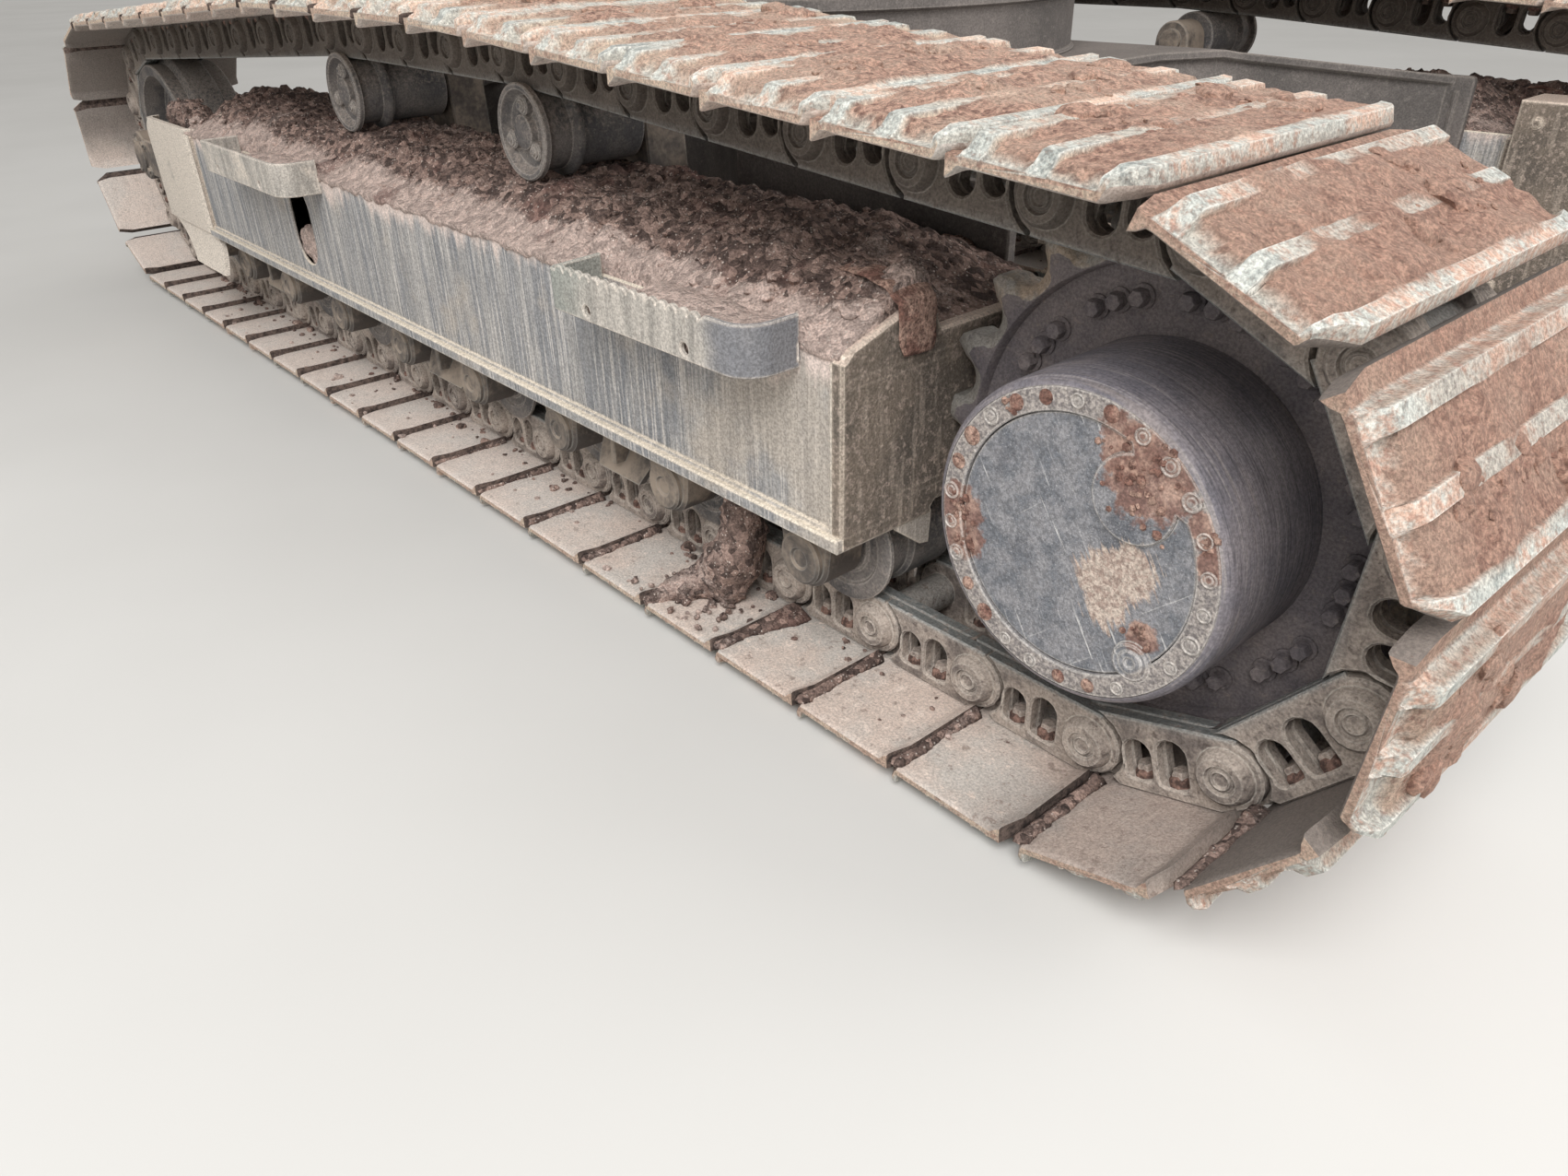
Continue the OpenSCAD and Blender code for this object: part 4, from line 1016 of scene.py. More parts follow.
def sprocket(side, materials):
    """The toothed ring with its bolts; each ring of points has its own wear."""
    edge = sprocket_edge(11)
    turn, rim = edge[:, 0], edge[:, 1]
    bottom = SPROCKET_PINS - BUSHING_SEAT
    height = np.clip((rim - bottom) / (rim.max() - bottom), 0, 1)
    wavy = bottom - 0.018 + 0.036 * height ** 1.4
    uneven = 0.0015 * (ripple(np.column_stack([np.cos(turn) * 8, np.sin(turn) * 8, turn * 0]), 1.0, 4) - 0.5)
    # Each ring: radius, distance from the middle of the track, wear
    rings = [(wavy, 0.031, 0.3), (wavy + 0.003, 0.0302, 0.9), (rim - 0.002 + uneven, 0.021 + uneven, 1.0),
             (rim + uneven, 0.019, 1.0), (rim + uneven, -0.019, 1.0), (rim - 0.002, -0.022, 1.0),
             (wavy, -0.031, 0.2)]
    rings += [(0 * rim + radius, y, 0) for radius, y in
              ((0.2153, -0.031), (0.2153, 0.013), (0.309, 0.013), (0.312, 0.0295), (0.3135, 0.031))]
    loops = [np.column_stack([radius * np.cos(turn), np.full(len(turn), 0.0) + y,
                              AXLE_Z + radius * np.sin(turn)])
             for radius, y, worn in rings]
    points, faces = around(loops)
    shape = Shape()
    shape.add(points, faces, 0, np.repeat([worn for radius, y, worn in rings], len(turn)))
    angles = [k * 7.5 for k in range(48) if k % 4 != 3]
    shape.join(bolts(on_circle(0, 0.013, AXLE_Z, 0.264, angles), 0.0125, 0.020))
    build_on(side, "sprocket_ring", shape, materials, "sprocket")


# The drum's sunk cover, how far out its face lies and the face's radius
COVER_RADIUS = 0.172
DRUM_FACE = 0.219
DRUM_RIM = 0.203
# How far the cover lies below the ring round it
COVER_DEPTH = 0.0045
# From the axle, in x and z: the bite out of the cover, with its radius, and the plug
LOBE = (-0.078, 0.092, 0.056)
DRUM_PLUG = (-0.108, -0.118)


def cover_outline():
    """The sunk cover on the drum's face from the axle, in x and z: a disc with a round bite out of it."""
    x, z, radius = LOBE
    rim = [a for a in np.linspace(0, 360, 97)[:-1]
           if math.dist(spot(0, 0, COVER_RADIUS, a), (x, z)) > radius + 0.010]
    gap = max(range(len(rim)), key=lambda k: (rim[(k + 1) % len(rim)] - rim[k]) % 360)
    rim = rim[gap + 1:] + rim[:gap + 1]
    line = [spot(0, 0, COVER_RADIUS, a) for a in rim]
    inner = []
    for a in np.linspace(0, 360, 121)[:-1]:
        px, pz = spot(x, z, radius, a)
        if math.hypot(px, pz) < COVER_RADIUS - 0.009:
            inner.append((a, px, pz))
    gap = max(range(len(inner)), key=lambda k: (inner[(k + 1) % len(inner)][0] - inner[k][0]) % 360)
    inner = inner[gap + 1:] + inner[:gap + 1]
    return line + [(px, pz) for a, px, pz in reversed(inner)]


def final_drive(side, paint, face_paint):
    """The turning drum: its side, its face with the sunk cover and the plug."""
    shape = Shape()
    side_profile = [(0.195, -0.056), (0.283, -0.056), (0.286, -0.053), (0.286, -0.034), (0.284, -0.0315),
                    (0.215, -0.0315), (0.215, 0.12), (0.2145, 0.204), (0.213, 0.211), (0.208, 0.217),
                    (DRUM_RIM, DRUM_FACE)]
    shape.add(*lathe(side_profile, 0, AXLE_Z, 128))
    # The face: a ring round the sunk cover, whose floor and wall follow the same outline
    outline = cover_outline()
    rim = circle(DRUM_RIM, 128)
    ring = plate([[(x, AXLE_Z + z) for x, z in rim], [(x, AXLE_Z + z) for x, z in outline]],
                 DRUM_FACE - 0.010, DRUM_FACE + 0.0005, 0.0015)
    shape.add(*ring, paint=1)
    small = [(x * 0.992, AXLE_Z + z * 0.992) for x, z in outline]
    shape.add(*plate([small], DRUM_FACE - 0.016, DRUM_FACE - COVER_DEPTH, 0.0012), paint=2)
    # A round plug in the cover's lower edge
    x, z = DRUM_PLUG
    plug = [(0.026, -0.006), (0.026, 0.001), (0.023, 0.0025), (0.020, 0.001), (0.017, 0.001), (0.015, 0.003),
            (0.008, 0.003), (0.006, 0.001), (0, 0.001)]
    shape.add(*lathe([(r, DRUM_FACE + d) for r, d in plug], x, AXLE_Z + z, 32), paint=1)
    build_on(side, "drum", shape, [paint, face_paint, face_paint], "final_drive")


def drum_bolts(side, bolt_paint, clay_paint):
    """Bolts and clay plugs in the ring round the drum's cover, and crumbs of clay that stick to the rim."""
    rng = random.Random(5)
    heads = Shape()
    clay = Shape()
    for k in range(26):
        angle = k * 360 / 26 + 4
        x, y, z = on_circle(0, DRUM_FACE, AXLE_Z, 0.189, [angle])[0]
        if math.hypot(x - DRUM_PLUG[0], z - AXLE_Z - DRUM_PLUG[1]) < 0.038:
            continue
        radius = rng.choice([0.0095, 0.0105, 0.0125])
        if rng.random() < 0.62:
            rings = [(radius, -0.002), (radius, 0.0022), (radius * 0.85, 0.0032), (radius * 0.8, 0.0012),
                     (radius * 0.5, 0.0012), (radius * 0.45, 0.0026), (0, 0.0026)]
            heads.add(*lathe([(r, y + d) for r, d in rings], x, z, 20))
        else:
            points, faces = lathe([(radius, y - 0.002), (radius * 1.05, y + 0.001),
                                   (radius * 0.6, y + 0.0030), (0, y + 0.0034)], x, z, 14)
            points[:, 1] += 0.0025 * (ripple(points, 0.008, 31 + k) - 0.5)
            clay.add(points, faces, 1.0)
    crumb = lump(False)
    for place, wide, count in (((-0.090, 0.125), 0.045, 46), ((0.175, -0.006), 0.020, 20),
                               ((0.164, -0.052), 0.018, 18), ((-0.178, 0.080), 0.016, 14),
                               ((-0.114, -0.078), 0.013, 10), ((0.10, 0.155), 0.02, 6)):
        for k in range(count):
            x, z = place[0] + rng.gauss(0, wide * 0.55), place[1] + rng.gauss(0, wide * 0.55)
            reach = math.hypot(x, z)
            if reach > 0.204:
                continue
            size = rng.uniform(0.0022, 0.0065)
            on_ring = reach > COVER_RADIUS or math.hypot(x - LOBE[0], z - LOBE[1]) < LOBE[2]
            level = DRUM_FACE if on_ring else DRUM_FACE - COVER_DEPTH
            points = crumb[0] * (0.7 + 0.7 * ripple(crumb[0] + k, 0.9, 23, 2))[:, None] * size * [1, 0.7, 1]
            clay.add(points + [x, level + size * 0.2, AXLE_Z + z], crumb[1], 1.0)
    build_on(side, "drum_bolts", heads, [bolt_paint])
    build_on(side, "drum_clay", clay, [clay_paint])


# The beam's window: x, z, half the distance between its two round ends and their radius
WINDOW = (2.404, 0.486, 0.036, 0.067)
# Thickness of the beam's side plates
PLATE = 0.008


def frame_side_outline():
    """Outline of the beam's side plates, in x and z."""
    return slab(FRAME_REAR + 0.004, FRAME_FRONT, FRAME_BOTTOM + 0.012, FRAME_TOP - 0.002, 0.006)


def window_outline():
    """Outline of the window in the outer side plate, in x and z."""
    x, z, half, radius = WINDOW
    return arc(x, z + half, radius, 0, 180, 12) + arc(x, z - half, radius, 180, 360, 12)


# Rise of the beam's top above its sides, from the middle outwards: y and height
CROWN_LINE = [(0, FRAME_CROWN), (0.130, 0.046), (FRAME_HALF - 0.012, 0.0), (FRAME_HALF, -0.012)]


def crown(y):
    """Rise of the beam's top above its sides, at distances y from its middle."""
    return np.interp(np.abs(y), [q[0] for q in CROWN_LINE], [q[1] for q in CROWN_LINE])


def track_frame(side, materials):
    """The beam as plates with their welds, its end plates, ledges and the drive's bracket."""
    shape = Shape()
    half = FRAME_HALF
    sill = FRAME_BOTTOM
    shape.add(*plate([frame_side_outline(), window_outline()], half - PLATE, half, 0.003))
    shape.add(*plate([frame_side_outline()], -half, PLATE - half, 0.003))
    # Roof plate, which lies under the earth
    shape.add(*block((FRAME_REAR, -half + 0.004, FRAME_TOP - 0.050),
                     (FRAME_FRONT, half - 0.004, FRAME_TOP - 0.036)))
    # Ledges beyond the sides, cheeks of the rollers' channel and its roof
    for sign in (-1, 1):
        for low, high in (((FRAME_REAR, CHANNEL, sill), (FRAME_FRONT, half + 0.018, sill + 0.024)),
                          ((FRAME_REAR, CHANNEL, sill + 0.02), (FRAME_FRONT, 0.145, sill + 0.055))):
            shape.add(*outside(block(low, high), sign))
        y, z = sign * (half + 0.001), sill + 0.025
        shape.add(*weld((FRAME_REAR + 0.01, y, z), (FRAME_FRONT - 0.01, y, z)))
    shape.add(*block((FRAME_REAR, -0.14, sill + 0.050), (FRAME_FRONT, 0.14, sill + 0.062)))
    # End plates across the box, a little proud of its sides, follow the sloped roof
    outer = half + 0.008
    roof = [(y, FRAME_TOP + rise + 0.004) for y, rise in reversed(CROWN_LINE)]
    roof += [(-y, FRAME_TOP + rise + 0.004) for y, rise in CROWN_LINE[1:]]
    shoulder = FRAME_TOP - 0.012
    sides = [(outer, sill), (outer, shoulder)] + roof + [(-outer, shoulder), (-outer, sill)]
    shape.add(*plate_across([sides], FRAME_FRONT - 0.016, FRAME_FRONT, 0.003), paint=1)
    notch = [(-0.06, sill), (-0.06, sill + 0.012), (-0.052, sill + 0.02), (0.052, sill + 0.02),
             (0.06, sill + 0.012), (0.06, sill)]
    # The rear one is cut down to the roof's edge on its inboard half
    level = FRAME_TOP - 0.004
    low_roof = [(0.085, FRAME_TOP + 0.054), (0.055, level)] + [(y, min(z, level)) for y, z in roof[4:]]
    rear_sides = sides[:2] + roof[:2] + low_roof + sides[-2:]
    shape.add(*plate_across([notch + rear_sides], FRAME_REAR - 0.001, FRAME_REAR + 0.024, 0.004), paint=1)
    for y in (-half - 0.001, half + 0.001):
        shape.add(*weld((FRAME_REAR + 0.026, y, sill + 0.03), (FRAME_REAR + 0.026, y, FRAME_TOP - 0.02)))
    lug = [(0.056, sill + 0.004), (0.136, sill + 0.004), (0.132, sill - 0.010), (0.080, sill - 0.050),
           (0.060, sill - 0.054)]
    shape.add(*plate_across([lug], FRAME_REAR + 0.002, FRAME_REAR + 0.014, 0.002))
    # Plate that holds the drive
    x1 = FRAME_REAR + 0.10
    cheek = arc(0, AXLE_Z, 0.250, 90, 270, 30) + [(x1, sill + 0.06), (x1, FRAME_TOP - 0.02)]
    shape.add(*plate([cheek, arc(0, AXLE_Z, 0.120, 0, 350, 36)], -0.150, -0.110, 0.004))
    build_on(side, "frame_beam", shape, materials, "track_frame")


def weld(start, end, radius=0.005):
    """A weld bead between two points: a thin bar with even ripples."""
    start, end = np.array(start), np.array(end)
    gap = end - start
    length = np.linalg.norm(gap)
    ahead = gap / length
    side_way = np.cross(ahead, [0.3, 0.9, 0.31])
    side_way /= np.linalg.norm(side_way)
    up_way = np.cross(ahead, side_way)
    count = max(6, int(length / 0.012))
    turn = np.arange(6) * math.pi / 3
    rings = []
    for k in range(count + 1):
        swell = radius * (1 + 0.16 * (k % 2) + 0.1 * math.sin(k * 1.7))
        middle = start + gap * k / count
        rings.append(middle + swell * (np.cos(turn)[:, None] * side_way + np.sin(turn)[:, None] * up_way))
    return loft(rings)


def motor_side(side, paint):
    """Hub and travel motor behind the sprocket."""
    shape = Shape()
    shape.add(*lathe([(0, -0.110), (0.186, -0.110), (0.190, -0.106), (0.190, -0.060), (0.186, -0.0565),
                      (0, -0.0565)], 0, AXLE_Z, 64))
    shape.join(bolts(on_circle(0, -0.1495, AXLE_Z, 0.170, range(0, 360, 30)), 0.012, 0.014, outwards=-1))
    build_on(side, "hub", shape, [paint], "drive_hub")
    motor = Shape()
    back = -0.150
    motor.add(*lathe([(0, back), (0.140, back), (0.140, back - 0.03), (0.118, back - 0.036),
                      (0.112, back - 0.10), (0.104, back - 0.106), (0.104, back - 0.132),
                      (0.098, back - 0.138), (0, back - 0.138)],
                     0, AXLE_Z, 48))
    motor.add(*block((0.055, back - 0.128, AXLE_Z - 0.068), (0.205, back - 0.022, AXLE_Z + 0.068), 0.010))
    motor.join(bolts(on_circle(0, back - 0.106, AXLE_Z, 0.098, range(15, 375, 60)), 0.009, 0.010,
                     outwards=-1))
    for z in (-0.04, 0.0, 0.04):
        motor.add(*lathe([(0.0, back - 0.150), (0.016, back - 0.150), (0.016, back - 0.126),
                          (0, back - 0.126)],
                         0.14, AXLE_Z + z, 18))
    build_on(side, "motor", motor, [paint], "travel_motor")


def motor_guard(side, paint):
    """The hood behind the sprocket that covers the travel motor."""
    shape = Shape()
    radius, skin = 0.250, 0.008
    inner, outer = -SHOE_WIDTH / 2, -0.1505
    x1 = FRAME_REAR - 0.001
    shell = [(x1, AXLE_Z + radius)] + arc(0, AXLE_Z, radius, 90, 270, 40) + [(x1, AXLE_Z - radius)]
    hollow = [(x1, AXLE_Z - radius + skin)]
    hollow += arc(0, AXLE_Z, radius - skin, 270, 90, 40) + [(x1, AXLE_Z + radius - skin)]
    shape.add(*plate([shell + hollow], inner, outer, 0.002))
    shape.add(*plate([shell], inner - skin, inner, 0.003))
    places = [(0.31, inner - skin, AXLE_Z - 0.20), (0.31, inner - skin, AXLE_Z + 0.20)]
    places += on_circle(0, inner - skin, AXLE_Z, 0.225, (110, 180, 250))
    shape.join(bolts(places, 0.011, 0.009, outwards=-1))
    build_on(side, "motor_cover", shape, [paint], "motor_guard")


# The steps: height of the upper edge, of the plate and its reach and thickness, and the radii of its bends
STEP_TOP = FRAME_TOP + 0.038
STEP_HEIGHT, STEP_REACH, STEP_PLATE = 0.078, 0.100, 0.010
STEP_REAR_BEND, STEP_FRONT_BEND = 0.050, 0.012
# Rear end, length and whether the upper edge is serrated
STEPS = [(0.455, 0.510, True), (2.205, 0.560, False)]


def step_line(x, length):
    """A step's outer face from above: out from the frame, forwards and back to the frame."""
    reach = FRAME_HALF + STEP_REACH
    rear, front = STEP_REAR_BEND, STEP_FRONT_BEND
    line = [(x, FRAME_HALF)] + arc(x + rear, reach - rear, rear, 180, 90, 8)
    line += arc(x + length - front, reach - front, front, 90, 0, 5) + [(x + length, FRAME_HALF)]
    return np.array(line)


def bent(made, line):
    """A flat plate, long in x and thick in y from 0, bent along a line seen from above."""
    gaps = np.linalg.norm(np.diff(line, axis=0), axis=1)
    reach = np.concatenate([[0], np.cumsum(gaps)])
    ways = np.diff(line, axis=0) / gaps[:, None]
    ways = np.vstack([ways[:1], ways[:-1] + ways[1:], ways[-1:]])
    ways /= np.linalg.norm(ways, axis=1)[:, None]
    points, faces = cut_lines(made, 0, reach[1:-1])
    place = [np.interp(points[:, 0], reach, line[:, k]) for k in (0, 1)]
    way = [np.interp(points[:, 0], reach, ways[:, k]) for k in (0, 1)]
    return np.column_stack([place[0] + points[:, 1] * way[1], place[1] - points[:, 1] * way[0],
                            points[:, 2]]), faces


def steps(side, paint):
    """Bent plates on the frame's upper edge: the rear one scalloped, both with drain holes low down."""
    shape = Shape()
    low = STEP_TOP - STEP_HEIGHT
    for x, length, serrated in STEPS:
        line = step_line(x, length)
        total = np.linalg.norm(np.diff(line, axis=0), axis=1).sum()
        crest = [(total, STEP_TOP), (0, STEP_TOP)]
        if serrated:
            crest = [(total, STEP_TOP - 0.004)]
            first, pitch, count = STEP_REACH + 0.095, 0.0256, 15
            for k in reversed(range(count)):
                middle = first + k * pitch
                crest += [(middle + pitch / 2 * math.cos(t), STEP_TOP - 0.0105 + 0.0105 * math.sin(t))
                          for t in np.linspace(0.12, math.pi - 0.12, 7)]
            crest += [(first - pitch, STEP_TOP - 0.001), (0, STEP_TOP)]
        outline = [(0, low), (total, low)] + crest
        drains = (STEP_REACH + 0.12, STEP_REACH + length - 0.13)
        holes = [arc(s, low + 0.017, 0.0095, 0, 345, 16) for s in drains]
        points, faces = bent(plate([outline, *holes], 0, STEP_PLATE, 0.002), line)
        shape.add(points, faces, 0, smooth(points[:, 2], STEP_TOP - 0.014, STEP_TOP - 0.002) * 0.7)
        for px in (x + 0.004, x + length - 0.004):
            shape.add(*weld((px, FRAME_HALF + 0.002, low + 0.01), (px, FRAME_HALF + 0.002, STEP_TOP - 0.04)))
    build_on(side, "step_plates", shape, [paint], "steps")


def idler_guard(side, paint):
    """Fork plates ahead of the frame: rounded front edge, a groove at the frame and a flared skid below."""
    shape = Shape()
    low, high = FRAME_BOTTOM + 0.003, FRAME_TOP + 0.008
    start, length = FRAME_FRONT, 0.476
    for sign in (-1, 1):
        rings = []
        upper = [high - 0.04, high - 0.02, high - 0.006, high]
        for z in [low, low + 0.004, *np.linspace(low + 0.03, high - 0.06, 8), *upper]:
            pull = 0.040 * smooth(z, high - 0.05, high) ** 2
            tip = start + length - pull
            outer = 0.262
            groove = [(start - 0.004, outer - 0.022), (start + 0.010, outer - 0.020),
                      (start + 0.026, outer - 0.004), (start + 0.040, outer)]
            front = [(tip - 0.045 + 0.045 * math.sin(t), outer - 0.045 + 0.045 * math.cos(t))
                     for t in np.linspace(0, math.pi / 2, 9)]
            back = [(tip - 0.045 + 0.029 * math.sin(t), outer - 0.045 + 0.029 * math.cos(t))
                    for t in np.linspace(math.pi / 2, 0, 7)]
            inside = [(start + 0.040, outer - 0.016), (start - 0.004, outer - 0.036)]
            rings.append([(px, sign * py, z) for px, py in groove + front + back + inside])
        shape.add(*loft(rings))
        shape.add(*outside(block((start, 0.19, low), (start + 0.014, 0.25, high - 0.004)), sign))
        # Skid: its upper edge is welded under the guard, its lower edge flares outwards
        rings = []
        for share in np.linspace(0, 1, 7):
            z = low + 0.004 - 0.104 * share
            y = 0.256 + 0.038 * share ** 1.6
            back, ahead = start - 0.010 - 0.120 * share ** 0.8, start + 0.440 - 0.300 * share ** 0.8
            rings.append([(back, sign * y, z), (ahead, sign * y, z), (ahead, sign * (y - 0.014), z),
                          (back, sign * (y - 0.014), z)])
        shape.add(*loft(rings))
    build_on(side, "guard_plates", shape, [paint], "idler_guard")


def idler(side, paint):
    """The idler with its hub, web, rims and middle flange, its rim marked as worn where the rails run."""
    half, r, flange = CHAIN_HALF, IDLER_RADIUS, 0.024
    shape = Shape()
    outboard = [(r + flange, 0.040), (r + flange - 0.004, 0.046), (r, 0.056), (r, half - 0.004),
                (r - 0.004, half), (r - 0.030, half), (r - 0.036, half - 0.004), (r - 0.040, 0.030),
                (r - 0.048, 0.022), (0.150, 0.026), (0.122, 0.030), (0.110, 0.064), (0.104, 0.070),
                (0.0425, 0.070)]
    profile = [(radius, -y) for radius, y in reversed(outboard)] + outboard
    points, faces = lathe(profile, WHEELBASE, IDLER_Z, 96)
    distance = np.hypot(points[:, 0] - WHEELBASE, points[:, 2] - IDLER_Z)
    shape.add(points, faces, 0, smooth(distance, r - 0.006, r - 0.001))
    build_on(side, "idler_wheel", shape, [paint], "idler")


def idler_yoke(side, paint):
    """The fork that holds the idler, with its bearings' bolts and caps, the axle and the recoil rod."""
    shape = Shape()
    inner, outer = CHAIN_HALF + 0.014, FRAME_HALF - 0.044
    back = FRAME_FRONT + 0.230
    for sign in (-1, 1):
        arm = [(back, IDLER_Z - 0.062), (WHEELBASE - 0.06, IDLER_Z - 0.062)]
        arm += arc(WHEELBASE, IDLER_Z, 0.082, 230, 490, 26)
        arm += [(WHEELBASE - 0.06, IDLER_Z + 0.062), (back, IDLER_Z + 0.062)]
        shape.add(*outside(plate([arm], inner, outer, 0.005), sign))
        places = [(WHEELBASE - 0.02 + a, outer, IDLER_Z + b) for a in (-0.045, 0.045)
                  for b in (-0.045, 0.045)]
        shape.join(bolts(places, 0.012, 0.012), lambda points: points * [1, sign, 1])
        cap = lathe([(0, outer), (0.05, outer), (0.05, outer + 0.008), (0.044, outer + 0.012),
                     (0, outer + 0.012)],
                    WHEELBASE, IDLER_Z, 32)
        shape.add(*outside(cap, sign))
    shape.add(*block((back, -outer, IDLER_Z - 0.06), (back + 0.08, outer, IDLER_Z + 0.06), 0.006))
    shape.add(*lathe([(0, -outer), (0.042, -outer), (0.042, outer), (0, outer)], WHEELBASE, IDLER_Z, 32))
    rod = lathe([(0, 0), (0.048, 0), (0.048, 0.22), (0.06, 0.222), (0.06, 0.24), (0, 0.24)], steps=32)
    points = np.column_stack([FRAME_FRONT + SEAT + rod[0][:, 1], rod[0][:, 0], IDLER_Z + rod[0][:, 2]])
    shape.add(points, rod[1])
    build_on(side, "yoke", shape, [paint], "idler_yoke")


def carriers(side, paint, mount_paint):
    """Carrier rollers with a dished end, three bosses and two flanges, and the brackets that hold them."""
    rollers = Shape()
    brackets = Shape()
    end = 0.118
    r, flange = CARRIER_RADIUS, 0.090
    profile = [(0.034, -end), (0.072, -end), (r, -end + 0.003), (r, 0.026), (0.088, 0.033), (flange, 0.036),
               (flange, 0.044), (0.088, 0.047), (r, 0.054), (r, 0.107), (0.087, 0.109), (flange, 0.111),
               (flange, end + 0.004), (0.087, end + 0.007), (0.078, end + 0.006), (0.074, end - 0.004),
               (0.066, end - 0.012), (0.040, end - 0.014), (0.034, end - 0.012), (0.032, end + 0.002),
               (0.026, end + 0.006), (0.012, end + 0.007), (0, end + 0.004)]
    for x, z in CARRIERS:
        rollers.add(*lathe(profile, x, z, 56))
        for a in (100, 220, 340):
            cx, cy, cz = on_circle(x, end - 0.014, z, 0.050, [a])[0]
            boss = lathe([(0.019, cy), (0.018, cy + 0.014), (0.015, cy + 0.017), (0, cy + 0.017)], cx, cz,
                         20)
            rollers.add(*boss)
            rollers.join(bolts([(cx, cy + 0.016, cz)], 0.009, 0.008))
        start = -FRAME_HALF + 0.020
        top = FRAME_TOP - 0.016
        foot = [(x - 0.070, top), (x + 0.070, top)] + arc(x, z, 0.056, 0, 180, 16)
        brackets.add(*plate([foot], start, -0.130, 0.004))
        brackets.add(*lathe([(0, start - 0.014), (0.034, start - 0.014), (0.034, -end), (0, -end)], x, z,
                            24))
        places = [(x - 0.052, start, top + 0.03), (x + 0.052, start, top + 0.03)]
        brackets.join(bolts(places, 0.011, 0.012, outwards=-1))
    build_on(side, "carrier_rings", rollers, [paint], "carrier_rollers")
    build_on(side, "carrier_mounts", brackets, [mount_paint], "carrier_brackets")


# The track rollers: the first one's distance from the sprocket axle and the last one's from the idler
FIRST_ROLLER, LAST_ROLLER = 0.500, 0.560
ROLLERS = [FIRST_ROLLER + k * (WHEELBASE - LAST_ROLLER - FIRST_ROLLER) / 8 for k in range(9)]
ROLLER_RADIUS = 0.090
ROLLER_Z = PIN_LINE + RAIL_HEIGHT + ROLLER_RADIUS + SEAT


def track_rollers(side, paint, mount_paint):
    """Track rollers with their axles, and the collars that hold them under the beam."""
    rollers = Shape()
    mounts = Shape()
    end = 0.120
    r, flange = ROLLER_RADIUS, 0.110
    profile = [(0.0343, -end), (0.106, -end), (flange, -end + 0.003), (flange, -end + 0.009),
               (r, -end + 0.014), (r, -0.056), (0.098, -0.048), (0.098, 0.048), (r, 0.056), (r, end - 0.014),
               (flange, end - 0.009), (flange, end - 0.003), (0.106, end), (0.082, end),
               (0.078, end - 0.004), (0.060, end - 0.004), (0.056, end), (0.0343, end)]
    bottom = FRAME_BOTTOM - SEAT
    for x in ROLLERS:
        rollers.add(*lathe(profile, x, ROLLER_Z, 44))
        for sign in (-1, 1):
            inner, outer = end + 0.004, FRAME_HALF - 0.030
            collar = arc(x, ROLLER_Z, 0.054, 180, 360, 18)
            collar += [(x + 0.062, bottom - 0.02), (x + 0.062, bottom), (x - 0.062, bottom),
                       (x - 0.062, bottom - 0.02)]
            mounts.add(*outside(plate([collar], inner, outer - 0.012, 0.006), sign))
            cap = lathe([(0.046, outer - 0.014), (0.046, outer - 0.004), (0.041, outer), (0.020, outer),
                         (0.016, outer - 0.004), (0, outer - 0.004)], x, ROLLER_Z, 24)
            mounts.add(*outside(cap, sign))
            for foot in (x - 0.066, x + 0.066):
                mounts.add(*outside(block((foot - 0.020, inner + 0.004, bottom - 0.030),
                                          (foot + 0.020, outer - 0.016, bottom), 0.004), sign))
        mounts.add(*lathe([(0, -end - 0.01), (0.034, -end - 0.01), (0.034, end + 0.01), (0, end + 0.01)], x,
                          ROLLER_Z, 20))
    build_on(side, "rollers", rollers, [paint], "track_rollers")
    build_on(side, "roller_collars", mounts, [mount_paint], "roller_mounts")


def chain_guides(side, paint):
    """Guide plates between rollers, flared at their lower edge, with a rib."""
    shape = Shape()
    step_x = ROLLERS[1] - ROLLERS[0]
    for behind, gap, taper in ((1, 0.026, 0.030), (3, 0.006, 0.035), (6, 0.026, 0.030)):
        x = ROLLERS[behind] + step_x / 2
        half = step_x / 2 - 0.062 - gap
        for sign in (-1, 1):
            inner = CHANNEL + 0.019
            rings = []
            for share in (0, 0.15, 0.4, 0.65, 0.8, 0.9, 1.0):
                z = FRAME_BOTTOM - SEAT - 0.126 * share
                flare = 0.030 * smooth(share, 0.55, 1.05)
                reach = half - taper * share ** 2
                rings.append([(x - reach, sign * (inner + flare), z), (x + reach, sign * (inner + flare), z),
                              (x + reach, sign * (inner + 0.016 + flare), z),
                              (x - reach, sign * (inner + 0.016 + flare), z)])
            shape.add(*loft(rings))
            shape.add(*outside(block((x - 0.007, inner + 0.014, FRAME_BOTTOM - 0.10),
                                     (x + 0.007, inner + 0.055, FRAME_BOTTOM - SEAT)), sign))
    build_on(side, "guides", shape, [paint], "chain_guides")


# The middle of the machine, in the part's own frame
BODY_LOW, BODY_HIGH = 0.483, 0.818
# Where a leg's top begins to slope and where it ends, and its height there
LEG_START, LEG_END, LEG_TOP = 0.600, 0.945, 0.752
# Radius of the round well in the middle
WELL = 0.560
TURRET_TOP = 0.985
TURRET_RADIUS, TURRET_INNER = 0.788, 0.612
# Radius at which the two races of the slew bearing meet
RACE = 0.702
# One end of the car body from its middle to the recess in its side, for a front and a rear leg: x and y
FRONT_CORNER = [(0.931, 0.430), (1.041, 0.640), (1.084, 0.835), (1.160, LEG_END), (0.460, LEG_END),
                (0.440, 0.760), (0.300, 0.700)]
REAR_CORNER = [(0.931, 0.430), (1.041, 0.640), (1.376, 0.835), (1.536, LEG_END), (0.836, LEG_END),
               (0.520, 0.760), (0.300, 0.700)]


